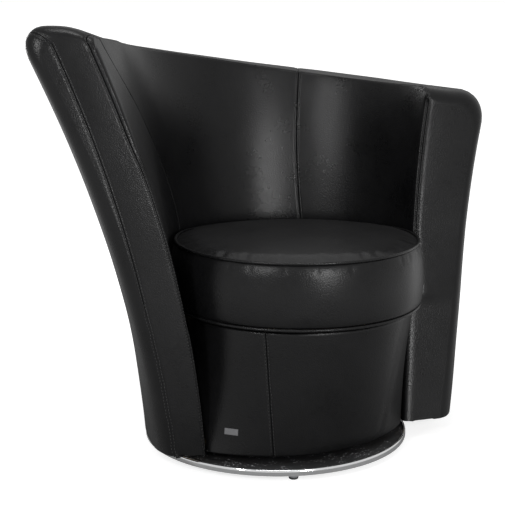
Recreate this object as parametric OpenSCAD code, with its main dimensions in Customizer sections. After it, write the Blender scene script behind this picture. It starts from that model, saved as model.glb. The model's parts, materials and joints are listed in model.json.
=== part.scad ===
// Leather swivel tub chair: an upholstered wall with one high wing, a round seat and a turning plate base.
// The origin is on the floor on the swivel axis, +Z is up and the open front of the chair faces -Y.
// Plan angles are measured about the seat centre: 0 is right, 90 the back, 180 left.

/* [Base] */
// Radius of the base over its steel rim
base_r = 290; // [270:1:310]
// Height of the glides under the plate
glide_h = 13; // [11:1:20]
// Diameter of a glide
glide_d = 22; // [18:1:32]
// Number of glides
glides_n = 4; // [4:1:8]
// Distance from the rim's outside to a glide's centre
glide_inset = 22; // [18:1:40]
// Direction of the first glide
glide_turn = -83; // [-90:1:-60]
// Thickness of the base plate
plate_t = 10; // [8:1:12]
// Width of the steel rim band
rim_t = 4; // [3:0.5:6]
// How far the rim stands above the plate
rim_lip = 3; // [1:0.5:5]

/* [Swivel] */
// Height of the ball bearing between plate and chair
bearing_h = 20; // [18:0.5:26]
// Radius of the ball track
track_r = 140; // [110:1:170]
// Diameter of a ball
ball_d = 9; // [7:0.5:10]
// Number of balls
balls_n = 24; // [12:1:32]
// Gap between the two races
race_gap = 3; // [2.5:0.1:4]
// Half width of a race ring
race_w = 24; // [22:1:28]
// Thickness of the ball cage
cage_t = 1.6; // [1:0.1:2]
// Diameter of the pivot bolt
pivot_d = 12; // [10:0.5:14]
// Wall of the pivot bush
bush_wall = 3; // [2:0.5:5]
// Screws in each race
race_screws_n = 6; // [4:1:8]

/* [Seat] */
// Seat centre, to the right of the swivel axis
seat_x = 45; // [35:1:55]
// Height of the seat's upper piping
seat_top = 450; // [430:1:470]
// Radius of the seat at its upper piping
seat_r = 264; // [258:1:266]
// Radius of the seat at its lower piping
seat_low_r = 269.5; // [266:0.5:271]
// How far the side band swells past the lower piping
band_swell = 9; // [5:0.5:10]
// Crown of the seat above its upper piping
seat_crown = 14; // [8:1:25]
// Radius of the piping
piping_r = 4; // [3:0.25:5]
// Height of the seat deck that carries the webbing
deck_z = 302; // [296:1:308]
// Width of a webbing strap
strap_w = 55; // [45:1:60]
// Thickness of the webbing
strap_t = 2; // [1.5:0.1:2.5]
// Straps in each direction
straps_n = 5; // [3:1:6]

/* [Frame] */
// Thickness of the bottom board
board_t = 18; // [15:1:22]
// How far the covers hang below the bottom board
hem_drop = 3; // [1:0.5:4]
// Clearance between the seat hoop and the apron's panel
hoop_air = 7; // [4:1:12]
// Width of the seat hoop
hoop_w = 40; // [36:1:50]
// Thickness of the seat hoop
hoop_t = 18; // [15:1:22]
// Diameter of a post under the hoop
post_d = 34; // [28:1:36]
// Thickness of a rib
rib_t = 18; // [15:1:22]
// Height of the top rail
rail_h = 70; // [66:1:85]
// Thickness of the inner bent panel
panel_t = 4; // [3:0.5:5]
// Thickness of the outer board
skin_t = 3; // [2:0.5:4]

/* [Upholstery] */
// Thickness of the leather
leather_t = 2; // [1.5:0.1:2.5]
// Thickness of the foam on the inside of the wall
inner_foam_t = 25; // [18:1:30]
// Thickness of the foam on the outside
outer_foam_t = 6; // [4:0.5:8]
// Thickness of the foam on the wings' front edges
front_foam_t = 15; // [12:1:18]
// Plan angle of the seam at the middle of the back
back_seam_a = 87; // [85:1:95]

/* [Wall] */
// Thickness of the wall at the back
wall_t = 118; // [110:1:130]
// Clearance between the seat's side and the wall at the back
pocket_gap = 5; // [4:0.5:12]
// Height of the lowest stretch of the rim
rim_low = 769; // [740:1:800]
// Height of the rim at the high wing
rim_high = 897; // [860:1:930]
// Plan angle at which the rim starts to climb
climb_from = 40; // [30:1:60]
// How far the top slopes up from the inner seam, at the high wing
top_rise = 24; // [10:1:30]
// Radius of the wall's top edge at the low wing
top_r_low = 58; // [45:1:62]
// Radius of the wall's top edge at the high wing
top_r_high = 50; // [30:1:55]
// Depth of the high wing in front of the seat centre, at its inner seam
wing_front = 232; // [215:1:245]
// How much further forward the wing's outer edge stands
wing_turn = 23; // [10:1:30]
// Radius of the high wing's outer front edge
nose_high = 60; // [45:1:70]
// Radius of the low wing's outer front edge
nose_low = 32; // [25:1:40]

/* [Front apron] */
// Radius of the apron at its top
apron_top_r = 255; // [252:1:257]
// Radius of the apron at its foot
apron_foot_r = 318; // [314:1:322]
// Thickness of the apron's foam
apron_foam_t = 7; // [5:0.5:9]
// Thickness of the apron's bent panel
apron_panel_t = 5; // [4:0.5:6]
// Share of the apron's width at which its front seam lies
apron_seam = 0.287; // [0.2:0.001:0.4]
// Width of the blank metal tag
tag_w = 30; // [20:1:36]
// Height of the blank metal tag
tag_h = 13; // [8:1:18]
// Height of the tag's middle above the floor
tag_z = 88; // [75:1:120]

/* [Hidden] */
$fn = 96;

// Clearances, the run of a cutter past a face, and the overlap of joined shapes
seat_gap = 0.3;
// The ribs and the rail stand this far off the boards over them, whose facets differ from theirs
frame_gap = 0.6;
run_gap = 0.05;
cut = 1;
joined = 0.1;
// One metre, which the curved outlines of the wall are written for
metre = 1000;

// Colours
leather = [0.07, 0.07, 0.075];
foam = [0.85, 0.82, 0.62];
plywood = [0.72, 0.57, 0.38];
hardboard = [0.45, 0.33, 0.22];
steel = [0.62, 0.63, 0.65];
black_metal = [0.06, 0.06, 0.065];
felt = [0.3, 0.3, 0.31];
cloth = [0.12, 0.12, 0.13];
nylon = [0.75, 0.72, 0.6];

// Heights, from the floor up
piping_lift = 1.5;
apron_over = 2;
plate_z = glide_h;
plate_top = plate_z + plate_t;
ball_z = plate_top + bearing_h / 2;
race_t = (bearing_h - race_gap) / 2;
board_z = plate_top + bearing_h;
board_top = board_z + board_t;
hem_z = board_z - hem_drop;
hoop_z = deck_z - hoop_t;
base_cloth_z = deck_z + 2 * strap_t + 2 * seat_gap;
seat_low_z = base_cloth_z + leather_t + piping_r + piping_lift;
apron_top_z = deck_z + apron_over;

// Rows of the wall's grid, under the seat and above it
under_drop = 15;
pocket_rise = 6;
low_top_z = deck_z - under_drop;
pocket_z = deck_z + pocket_rise;
upper_rows = 7;
arc_rows = 3;

// The seat hoop stands inside the apron
apron_t = leather_t + apron_foam_t + apron_panel_t;
hoop_r = apron_top_r - apron_t - hoop_air;

// Plan of the wall. The inner surface hugs the seat and leans out above it.
bulge_r = max(seat_low_r, seat_r) + band_swell;
// The sides hug the seat a little closer than the back does
side_squeeze = 1.5;
pocket_r = bulge_r + pocket_gap - side_squeeze;
back_r = bulge_r + pocket_gap;
inner_lean_right = 107;
inner_lean_side = 120;
inner_curl_left = 230;
inner_curl_back = 200;
// Under the seat the inner surface closes on the apron and stands round the hoop
hoop_to_right = 1.5;
hoop_to_left = 16;
hoop_to_back = 21;
under_right = [hoop_r + hoop_to_right, 9.6, 256];
under_left_r = hoop_r + hoop_to_left;
under_back_r = hoop_r + hoop_to_back;
// The outer surface at the right, at the left and at the high wing's front
outer_right_r = 343;
outer_right_lean = 168;
outer_left_r = 332;
outer_left_lean = 60;
outer_left_curl = 160;
wing_in_x = [143.5, 53.4, 217.8];
wing_out_x = [250, 105, 202];
wing_out_y = 200;
// Millimetres of the high wing's run for one degree past the left side
run_step = 5;
low_front_y = [-53, 460, -300];
low_wing_turn = 40;
rim_span = 190;
climb_straight = 0.25;
rise_low = 4;
drop_high = 25;
drop_low = 30;
nose_start = 3;
// Share of the nose rounding left at the floor, and its growth with height
nose_foot = 0.45;
nose_growth = 1.1;

function metres(z) = z / metre;
function above(z) = metres(max(0, z - seat_top));
function poly2(c, m) = c[0] + c[1] * m + c[2] * m * m;
function mix(a, b, f) = a + (b - a) * f;
function clamp01(f) = min(1, max(0, f));
// 0 under the seat deck, 1 where the inner covers start
function pocket(z) = clamp01((z - low_top_z) / (pocket_z - low_top_z));

function inner_right(z) = mix(poly2(under_right, metres(min(z, low_top_z) - hem_z)),
    pocket_r + inner_lean_right * above(z), pocket(z));
function inner_left(z) = mix(under_left_r,
    pocket_r + inner_lean_side * above(z) + inner_curl_left * pow(above(z), 2), pocket(z));
function inner_back(z) = mix(under_back_r,
    back_r + inner_lean_side * above(z) + inner_curl_back * pow(above(z), 2), pocket(z));
function outer_right(z) = outer_right_r + outer_right_lean * metres(z);
function outer_left(z) = outer_left_r + outer_left_lean * metres(z) + outer_left_curl * pow(metres(z), 2);
function outer_back(z) = back_r + inner_lean_side * above(z) + inner_curl_back * pow(above(z), 2) + wall_t;

// A point of a plan line: half ellipses at the back, then the high wing's run towards the front
function plan(a, right, left, back, front_x, front_y) =
    a <= 180
    ? [seat_x + (a < 90 ? right : left) * cos(a), back * sin(a)]
    : let (y = -run_step * (a - 180), x0 = seat_x - left)
        [x0 + (front_x - x0) * pow(y / front_y, 2), y];

function low_y(z) = poly2(low_front_y, metres(z));
function inner_from(z) = asin(low_y(z) / inner_back(z));
function outer_from(z) = asin((low_y(z) + low_wing_turn) / outer_back(z));
inner_to = 180 + wing_front / run_step;
outer_to = 180 + (wing_front + wing_turn) / run_step;

function inner_at(u, z) = plan(mix(inner_from(z), inner_to, u), inner_right(z), inner_left(z), inner_back(z),
    -poly2(wing_in_x, metres(z)), wing_front);
function outer_at(u, z) = plan(mix(outer_from(z), outer_to, u), outer_right(z), outer_left(z), outer_back(z),
    -poly2(wing_out_x, metres(z)), wing_out_y);

// Length of the wall along its inner surface, for turning thicknesses into shares of it
wall_run = 1030;
function share(s) = s / wall_run;
leather_u = share(leather_t);
gap_u = share(seat_gap);
front_u = share(leather_t + front_foam_t);
inner_u = front_u + share(frame_gap);
rib_u = share(rib_t);

// Inset of a rounded edge of radius r at distance s from the wall's end
function edge_inset(s, r) = s < r - nose_start ? r * (1 - sqrt(1 - pow((r - nose_start - s) / r, 2))) : 0;
function nose(u, z) = edge_inset(wall_run * u, nose_low)
    + edge_inset(wall_run * (1 - u), nose_high) * min(1, nose_foot + nose_growth * metres(z));
function thickness(u, z) = norm(outer_at(u, z) - inner_at(u, z)) - nose(u, z);

// A point of the wall at depth p from the inner surface
function wall(u, p, z) =
    let (a = inner_at(u, z), b = outer_at(u, z), q = a + (b - a) / norm(b - a) * p)
    [q[0], q[1], z];

// Rim height at the inner seam, and the radius and rise of the top
function climb(u) =
    let (f = clamp01((mix(right_a, inner_to, u) - climb_from) / rim_span))
    (1 - climb_straight) * f * f * (3 - 2 * f) + climb_straight * f;
function rim_z(u) = mix(rim_low, rim_high, climb(u))
    - edge_inset(wall_run * u, drop_low) - edge_inset(wall_run * (1 - u), drop_high);
function rise(u) = mix(rise_low, top_rise, u);
function top_r(u) = mix(top_r_low, top_r_high, u);

// Heights of the rows up to the rail, with the lowest one given
function rows(u, z0) = concat([z0, mix(hem_z, low_top_z, 1 / 3), mix(hem_z, low_top_z, 2 / 3), low_top_z],
    [for (k = [0:upper_rows]) mix(pocket_z, rim_z(u) - rail_h, k / upper_rows)]);

// Chains of one station: the outside, at depth d under the surface, from z0 up to the end of the top rounding
function outside(u, d, z0) = concat(
    [for (z = rows(u, z0)) wall(u, thickness(u, z) - d, z)],
    [for (k = [0:arc_rows])
        let (f = 90 * k / arc_rows, r = top_r(u), z = rim_z(u) + rise(u) - r + (r - d) * sin(f))
        wall(u, thickness(u, z) - r + (r - d) * cos(f), z)]);
// The same, carried on over the top to depth p from the inside
function over(u, d, p, z0) = concat(outside(u, d, z0), [wall(u, p, rim_z(u) - d)]);
// The inside, at depth p, up to d under the rim
function inside(u, p, d) = concat(
    [for (k = [0:upper_rows]) wall(u, p, mix(pocket_z, rim_z(u) - rail_h, k / upper_rows))],
    [wall(u, p, rim_z(u) - d)]);

// Stations along the wall: the ends, both sides of each rib, and two between each pair
ribs_n = 8;
rib_pitch = (1 - 2 * inner_u - rib_u) / (ribs_n - 1);
function rib_from(i) = inner_u + i * rib_pitch;
// The seam at the middle of the back lies in the bay after the third rib, and is a station too
right_a = 20;
seam_bay = 2;
back_seam_u = (back_seam_a - right_a) / (inner_to - right_a);
function bay(a, b, i) = i == seam_bay ? [back_seam_u, mix(back_seam_u, b, 1 / 2)]
    : i < ribs_n - 1 ? [mix(a, b, 1 / 3), mix(a, b, 2 / 3)] : [];
inner_stations = [for (i = [0:ribs_n - 1])
    each concat([rib_from(i), rib_from(i) + rib_u], bay(rib_from(i) + rib_u, rib_from(i + 1), i))];
// First station behind each end of the covers
edge_run = 8;
edge_u = share(edge_run);
skinned = concat([leather_u, edge_u], inner_stations, [1 - edge_u, 1 - leather_u]);
outer_stations = concat([0], skinned, [1]);
function from_to(list, low, high) = [for (u = list) if (u > low && u < high) u];

// Two triangles that fill a quad, split from its first corner to its third
function pair(a, b, c, d) = [[a, b, c], [a, c, d]];
// Closed block between two grids of points, a on the seat's side and b on the far side
module slab(a, b) {
    n = len(a);
    m = len(a[0]);
    points = concat([for (row = a) each row], [for (row = b) each row]);
    half = n * m;
    faces = concat(
        [for (i = [0:n - 2]) for (j = [0:m - 2]) let (k = i * m + j) each pair(k, k + m, k + m + 1, k + 1)],
        [for (i = [0:n - 2]) for (j = [0:m - 2]) let (k = half + i * m + j) each pair(k, k + 1, k + m + 1, k + m)],
        [for (i = [0:n - 2]) let (k = i * m) each pair(k, k + half, k + half + m, k + m)],
        [for (i = [0:n - 2]) let (k = i * m + m - 1) each pair(k, k + m, k + half + m, k + half)],
        [for (j = [0:m - 2]) each pair(j, j + 1, j + half + 1, j + half)],
        [for (j = [0:m - 2]) let (k = (n - 1) * m + j) each pair(k, k + half, k + half + 1, k + 1)]);
    polyhedron(points = points, faces = faces);
}

// Base

module base_plate() {
    color(black_metal)
    difference() {
        translate([0, 0, plate_z]) cylinder(h = plate_t, r = base_r - rim_t);
        translate([0, 0, plate_z - cut]) cylinder(h = plate_t + 2 * cut, r = pivot_d / 2 + run_gap);
        at_race_screws(lower_screws_turn) translate([0, 0, plate_top - race_screw_bite])
            cylinder(h = race_screw_bite + cut, r = screw_r);
        at_glides() translate([0, 0, plate_z - cut]) cylinder(h = glide_screw_bite + cut, r = glide_screw_r);
    }
}

module rim_ring() {
    // A band with a rounded outside, wrapped round the plate
    color(steel)
    rotate_extrude($fn = 180) {
        intersection() {
            translate([base_r - rim_t, plate_z]) square([rim_t, plate_t + rim_lip]);
            translate([base_r - rim_round, plate_z + (plate_t + rim_lip) / 2]) circle(r = rim_round, $fn = 64);
        }
    }
}
rim_round = 14;

glide_screw_r = 3;
glide_screw_bite = 7;
glide_pad_h = 4;
glide_step = 1.5;
module at_glides() {
    for (k = [0:glides_n - 1])
        rotate([0, 0, glide_turn + 360 * k / glides_n]) translate([base_r - glide_inset, 0, 0]) children();
}
module glides() {
    // Each glide: a felt-faced pad under a wider cup, with a hole for its screw
    color(felt)
    at_glides()
    difference() {
        union() {
            cylinder(h = glide_pad_h, r = glide_d / 2 - glide_step, $fn = 48);
            translate([0, 0, glide_pad_h]) cylinder(h = glide_h - glide_pad_h, r = glide_d / 2, $fn = 48);
        }
        translate([0, 0, glide_pad_h]) cylinder(h = glide_h, r = glide_screw_r + run_gap, $fn = 32);
    }
}
module glide_screws() {
    color(steel)
    at_glides() translate([0, 0, glide_pad_h + seat_gap])
        cylinder(h = glide_h - glide_pad_h + glide_screw_bite - 2 * seat_gap, r = glide_screw_r - run_gap, $fn = 32);
}

// Swivel bearing

screw_r = 2.1;
screw_head_r = 4;
screw_head_h = 2.6;
race_screw_bite = 7;
board_screw_bite = 14;
screw_from_edge = 6;
screw_at_r = race_w - screw_from_edge;
lower_screws_turn = 45;
module at_race_screws(turn) {
    for (k = [0:race_screws_n - 1])
        rotate([0, 0, turn + 360 * k / race_screws_n]) translate([track_r + screw_at_r, 0, 0]) children();
}
module race_ring() {
    // Ring with a ball groove in its top face and counterbored screw holes, its underside at z = 0
    difference() {
        rotate_extrude($fn = 128)
        difference() {
            translate([track_r - race_w, 0]) square([2 * race_w, race_t]);
            translate([track_r, race_t + race_gap / 2]) circle(r = ball_d / 2 + run_gap, $fn = 48);
        }
        at_race_screws(0) {
            translate([0, 0, -cut]) cylinder(h = race_t + 2 * cut, r = screw_r, $fn = 24);
            translate([0, 0, race_t - screw_head_h - seat_gap])
                cylinder(h = race_t, r = screw_head_r + run_gap, $fn = 32);
        }
    }
}
module race_screw(bite) {
    // Screw with its head up, in the frame of race_ring
    translate([0, 0, race_t - screw_head_h - seat_gap]) cylinder(h = screw_head_h, r = screw_head_r, $fn = 32);
    translate([0, 0, seat_gap - bite])
        cylinder(h = bite + race_t - screw_head_h - 2 * seat_gap + joined, r = screw_r - run_gap, $fn = 24);
}
module lower_race() {
    color(steel) translate([0, 0, plate_top]) rotate([0, 0, lower_screws_turn]) race_ring();
}
module lower_race_screws() {
    color(steel) at_race_screws(lower_screws_turn) translate([0, 0, plate_top]) race_screw(race_screw_bite);
}
module upper_race() {
    color(steel) translate([0, 0, board_z]) mirror([0, 0, 1]) race_ring();
}
module upper_race_screws() {
    color(steel) at_race_screws(0) translate([0, 0, board_z]) mirror([0, 0, 1]) race_screw(board_screw_bite);
}
cage_w = 9;
module at_balls() {
    for (k = [0:balls_n - 1]) rotate([0, 0, 360 * k / balls_n]) translate([track_r, 0, ball_z]) children();
}
module bearing_balls() {
    color(steel) at_balls() sphere(r = ball_d / 2, $fn = 32);
}
module ball_cage() {
    color(felt)
    difference() {
        translate([0, 0, ball_z - cage_t / 2])
        difference() {
            cylinder(h = cage_t, r = track_r + cage_w);
            translate([0, 0, -cut]) cylinder(h = cage_t + 2 * cut, r = track_r - cage_w);
        }
        at_balls() translate([0, 0, -cage_t]) cylinder(h = 2 * cage_t, r = ball_d / 2 + run_gap, $fn = 32);
    }
}
head_h = 6;
washer_t = 2;
nut_h = 9;
jam_h = 5;
head_r = pivot_d;
bolt_tail = 3;
// Radius over the corners of a nut, as a share of the bolt's diameter
nut_share = 0.92;
pivot_top = board_top + seat_gap;
module pivot_bolt() {
    color(steel) {
        translate([0, 0, plate_z - head_h]) cylinder(h = head_h, r = head_r, $fn = 64);
        translate([0, 0, plate_z - joined])
            cylinder(h = pivot_top + washer_t + nut_h + bolt_tail + joined - plate_z, r = pivot_d / 2, $fn = 64);
    }
}
module hex_nut(h) {
    difference() {
        cylinder(h = h, r = pivot_d * nut_share, $fn = 6);
        translate([0, 0, -cut]) cylinder(h = h + 2 * cut, r = pivot_d / 2 + run_gap, $fn = 64);
    }
}
module jam_nut() {
    color(steel) translate([0, 0, plate_top]) hex_nut(jam_h);
}
module pivot_washer() {
    color(steel)
    translate([0, 0, pivot_top + seat_gap])
    difference() {
        cylinder(h = washer_t, r = head_r, $fn = 64);
        translate([0, 0, -cut]) cylinder(h = washer_t + 2 * cut, r = pivot_d / 2 + run_gap, $fn = 64);
    }
}
module pivot_nut() {
    color(steel) translate([0, 0, pivot_top + seat_gap + washer_t]) hex_nut(nut_h);
}
module pivot_bush() {
    color(nylon)
    translate([0, 0, board_z])
    difference() {
        cylinder(h = board_t + seat_gap, r = pivot_d / 2 + run_gap + bush_wall, $fn = 64);
        translate([0, 0, -cut]) cylinder(h = board_t + 3 * cut, r = pivot_d / 2 + run_gap, $fn = 64);
    }
}

// Bottom board, hoop and webbing

board_inset = 6;
board_from_u = 0.03;
// The outer board's facets shift along the wall as it rises, so the floor board keeps this far from it
board_air = 1.5;
wall_skin_t = leather_t + outer_foam_t + skin_t;
function flat(q) = [q[0], q[1]];
// Outline of the floor pieces, drawn in by extra: behind the low wing's front foam, inside the wall's outer
// board, behind the high wing's front foam, then inside the apron. What leans in counts at the board's top.
function floor_outline(extra) =
    let (u0 = inner_u + share(board_inset + extra), z = board_top)
    concat(
        [flat(wall(u0, extra, z)), flat(wall(u0, thickness(u0, z) - wall_skin_t - board_inset - extra, z))],
        [for (u = from_to(inner_stations, board_from_u + share(extra), 1 - board_from_u - share(extra)))
            flat(wall(u, thickness(u, hem_z) - wall_skin_t - board_air - extra, hem_z))],
        [flat(wall(1 - u0, extra, z))],
        [for (k = [0:apron_cols]) flat(apron(k / apron_cols, apron_t + board_inset + extra, z))]);
module bottom_board() {
    color(plywood)
    difference() {
        translate([0, 0, board_z]) linear_extrude(height = board_t) polygon(floor_outline(0));
        translate([0, 0, board_z - cut])
            cylinder(h = board_t + 2 * cut, r = pivot_d / 2 + 2 * run_gap + bush_wall, $fn = 64);
        at_race_screws(0) translate([0, 0, board_z - cut]) cylinder(h = board_screw_bite + cut, r = screw_r, $fn = 24);
    }
}
dust_t = 0.8;
dust_inset = 10;
dust_air = 2;
dust_hole_r = track_r + race_w + dust_air;
module dust_cover() {
    color(cloth)
    difference() {
        translate([0, 0, board_z - dust_t]) linear_extrude(height = dust_t) polygon(floor_outline(dust_inset));
        translate([0, 0, board_z - dust_t - cut]) cylinder(h = dust_t + 2 * cut, r = dust_hole_r, $fn = 128);
    }
}
// Plan angles of the four posts; the drum is too shallow for one at its front right
post_turns = [10, 90, 170, 250];
posts_n = len(post_turns);
hoop_screw_l = 40;
module at_post(k) {
    translate([seat_x, 0, 0]) rotate([0, 0, post_turns[k]]) translate([hoop_r - hoop_w / 2, 0, 0]) children();
}
module hoop_post(k) {
    color(plywood)
    at_post(k)
    difference() {
        translate([0, 0, board_top]) cylinder(h = hoop_z - board_top, r = post_d / 2, $fn = 48);
        translate([0, 0, deck_z - hoop_screw_l]) cylinder(h = hoop_screw_l, r = screw_r, $fn = 24);
    }
}
module seat_hoop() {
    color(plywood)
    difference() {
        translate([seat_x, 0, hoop_z])
        difference() {
            cylinder(h = hoop_t, r = hoop_r, $fn = 128);
            translate([0, 0, -cut]) cylinder(h = hoop_t + 2 * cut, r = hoop_r - hoop_w, $fn = 128);
        }
        for (k = [0:posts_n - 1]) at_post(k) {
            translate([0, 0, hoop_z - cut]) cylinder(h = hoop_t + 2 * cut, r = screw_r, $fn = 24);
            translate([0, 0, deck_z - screw_head_h - seat_gap])
                cylinder(h = 2 * screw_head_h, r = screw_head_r + run_gap, $fn = 32);
        }
    }
}
module hoop_screws() {
    color(steel)
    for (k = [0:posts_n - 1]) at_post(k) {
        translate([0, 0, deck_z - screw_head_h - seat_gap]) cylinder(h = screw_head_h, r = screw_head_r, $fn = 32);
        translate([0, 0, deck_z - hoop_screw_l + seat_gap])
            cylinder(h = hoop_screw_l - screw_head_h - 2 * seat_gap + joined, r = screw_r - run_gap, $fn = 24);
    }
}
strap_inset = 4;
strap_pitch = 2 * (hoop_r - hoop_w - strap_inset * straps_n) / straps_n;
module straps() {
    // Straps along Y, each cut to the chord of the hoop at its outer edge
    for (k = [0:straps_n - 1]) {
        at = (k - (straps_n - 1) / 2) * strap_pitch;
        half = sqrt(pow(hoop_r - strap_inset, 2) - pow(abs(at) + strap_w / 2, 2));
        translate([at - strap_w / 2, -half, 0]) cube([strap_w, 2 * half, strap_t]);
    }
}
module webbing_lengthwise() {
    color(cloth) translate([seat_x, 0, deck_z]) straps();
}
module webbing_crosswise() {
    color(cloth) translate([seat_x, 0, deck_z + strap_t + seat_gap]) rotate([0, 0, 90]) straps();
}

// Front apron between the wings: a ruled surface from the round under the seat to the wider foot

apron_cols = 18;
apron_rows = 6;
// Plan angles of the left end, the seam and the right end, at the top and at the foot
apron_top_a = [200, 253.8, 373.2];
apron_foot_a = [246.9, 272.5, 340.5];
apron_foot_c = [-22, 70];
// Half the stretch of the width that gives the direction along the face
apron_step = 0.004;
function apron_turn(list, w) = w < apron_seam ? mix(list[0], list[1], w / apron_seam)
    : mix(list[1], list[2], (w - apron_seam) / (1 - apron_seam));
function apron_line(w, z) =
    let (f = (z - hem_z) / (apron_top_z - hem_z),
        a = apron_turn(apron_foot_a, w),
        b = apron_turn(apron_top_a, w))
    mix(apron_foot_c + apron_foot_r * [cos(a), sin(a)], [seat_x, 0] + apron_top_r * [cos(b), sin(b)], f);
// A point of the apron at depth d behind its face
function apron(w, d, z) =
    let (along = apron_line(w + apron_step, z) - apron_line(w - apron_step, z), q = apron_line(w, z),
        in = [-along[1], along[0]] / norm(along))
    [q[0] + in[0] * d, q[1] + in[1] * d, z];
function apron_grid(w0, w1, cols, d) = [for (i = [0:cols])
    [for (j = [0:apron_rows]) apron(mix(w0, w1, i / cols), d, mix(hem_z, apron_top_z, j / apron_rows))]];
seam_col = 7;
module apron_layer(d0, d1, w0, w1, cols) {
    slab(apron_grid(w0, w1, cols, d1), apron_grid(w0, w1, cols, d0));
}
// Both layers and covers share the stations on the two sides of the seam
module apron_left(d0, d1) {
    apron_layer(d0, d1, 0, apron_seam, seam_col);
}
module apron_right(d0, d1) {
    apron_layer(d0, d1, apron_seam, 1, apron_cols - seam_col);
}
module apron_panel() {
    color(hardboard) {
        apron_left(leather_t + apron_foam_t + seat_gap, apron_t);
        apron_right(leather_t + apron_foam_t + seat_gap, apron_t);
    }
}
module apron_foam() {
    color(foam) {
        apron_left(foam_p, leather_t + apron_foam_t);
        apron_right(foam_p, leather_t + apron_foam_t);
    }
}
module apron_cover_left() {
    color(leather) apron_left(0, leather_t);
}
module apron_cover_right() {
    color(leather) apron_right(0, leather_t);
}
tag_at = 0.13;
tag_t = 1;
tag_pin_r = 0.8;
tag_gap = 0.7;
pin_inset = 2.5;
pin_head = 0.5;
pin_reach = 0.7;
module at_tag() {
    q = apron(tag_at, 0, tag_z);
    high = apron(tag_at, 0, tag_z + tag_h);
    in = apron(tag_at, 1, tag_z) - q;
    turn = atan2(in[1], in[0]);
    lean = atan2((high[0] - q[0]) * cos(turn) + (high[1] - q[1]) * sin(turn), tag_h);
    // The tag's own frame has its back at x = 0, facing the apron
    translate(q) rotate([0, 0, turn]) rotate([0, lean, 0]) translate([-tag_gap, 0, 0]) children();
}
module tag_plate() {
    color(steel)
    at_tag()
    difference() {
        translate([-tag_t, -tag_w / 2, -tag_h / 2]) cube([tag_t, tag_w, tag_h]);
        for (side = [-1, 1]) translate([-2 * tag_t, side * (tag_w / 2 - pin_inset), 0])
            rotate([0, 90, 0]) cylinder(h = 4 * tag_t, r = tag_pin_r + run_gap, $fn = 24);
    }
}
module tag_pins() {
    color(steel)
    at_tag()
    for (side = [-1, 1]) translate([-tag_t - pin_head, side * (tag_w / 2 - pin_inset), 0])
        rotate([0, 90, 0]) cylinder(h = tag_t + pin_head + pin_reach, r = tag_pin_r, $fn = 24);
}

// Wall frame

module rib(i) {
    // One rib between the inner panel and the outer board, from the bottom board to under the rail
    color(plywood)
    slab([for (u = [rib_from(i), rib_from(i) + rib_u]) rib_inner(u)],
        [for (u = [rib_from(i), rib_from(i) + rib_u]) rib_outer(u)]);
}
rib_foot_p = 3;
function rib_rows(u) = let (list = rows(u, board_top + seat_gap)) [for (k = [0:len(list) - 1])
    k == len(list) - 1 ? list[k] - seat_gap : list[k]];
function rib_inner(u) = [for (z = rib_rows(u))
    wall(u, mix(rib_foot_p, rail_p, pocket(z)), z)];
function rib_outer(u) = [for (z = rib_rows(u)) wall(u, thickness(u, z) - wall_skin_t - frame_gap, z)];

module top_rail() {
    color(plywood)
    slab([for (u = inner_stations) rail_inner(u)], [for (u = inner_stations) rail_outer(u)]);
}
rail_p = leather_t + inner_foam_t + panel_t + frame_gap;
rail_d = leather_t + outer_foam_t + frame_gap;
function rail_low(u) = rim_z(u) - rail_h + seat_gap;
function rail_outer(u) = concat([wall(u, thickness(u, rail_low(u)) - rail_d, rail_low(u))],
    [for (k = [0:arc_rows])
        let (f = 90 * k / arc_rows, r = top_r(u), z = rim_z(u) + rise(u) - r + (r - rail_d) * sin(f))
        wall(u, thickness(u, z) - r + (r - rail_d) * cos(f), z)]);
// Straight between its foot and its top, as the inner panel is there
function rail_inner(u) = [for (k = [0:arc_rows + 1])
    mix(wall(u, rail_p, rail_low(u)), wall(u, rail_p, rim_z(u) - rail_d), k / (arc_rows + 1))];

// Each layer starts a gap away from the back of the one over it
foam_p = leather_t + seat_gap;
panel_p = leather_t + inner_foam_t + seat_gap;
module inner_panel() {
    d = leather_t + outer_foam_t + seat_gap;
    color(hardboard)
    slab([for (u = inner_stations) inside(u, panel_p, d)],
        [for (u = inner_stations) inside(u, leather_t + inner_foam_t + panel_t, d)]);
}
function skin_chain(u, d) = [for (z = rows(u, board_z)) wall(u, thickness(u, z) - d, z)];
module outer_panel() {
    color(hardboard)
    slab([for (u = inner_stations) skin_chain(u, wall_skin_t)],
        [for (u = inner_stations) skin_chain(u, leather_t + outer_foam_t + seat_gap)]);
}

// Wall padding

module inner_foam() {
    d = leather_t + outer_foam_t + seat_gap;
    color(foam)
    slab([for (u = inner_stations) inside(u, foam_p, d)],
        [for (u = inner_stations) inside(u, leather_t + inner_foam_t, d)]);
}
module outer_foam() {
    color(foam)
    slab([for (u = inner_stations) over(u, leather_t + outer_foam_t, foam_p, board_z)],
        [for (u = inner_stations) over(u, foam_p, foam_p, board_z)]);
}
// Rows of a wing's front face: from the inner edge at depth p0 to the outside at depth d, hem to top
front_cols = 3;
function front_row(u, p0, d, z0) =
    let (out = outside(u, d, z0), n = len(out), list = rows(u, z0), m = len(list),
        top = rim_z(u) - d)
    [for (j = [0:n - 1])
        let (z_in = j < m ? list[j] : mix(list[m - 1], top, (j - m + 1) / (n - m)), z_out = out[j][2],
            p_out = norm([out[j][0], out[j][1]] - inner_at(u, z_out)))
        [for (c = [0:front_cols])
            let (f = c / front_cols, z = mix(z_in, z_out, f))
            c == front_cols ? out[j] : wall(u, mix(p0, p_out, f), z)]];
module front_block(from, to, p, d, z0) {
    slab(front_row(from, p, d, z0), front_row(to, p, d, z0));
}
module high_wing_front_foam() {
    color(foam) front_block(1 - front_u, 1 - leather_u - gap_u, leather_t + frame_gap, foam_p, board_z);
}
module low_wing_front_foam() {
    color(foam) front_block(leather_u + gap_u, front_u, foam_p, foam_p, board_z);
}

// Wall covers

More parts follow.
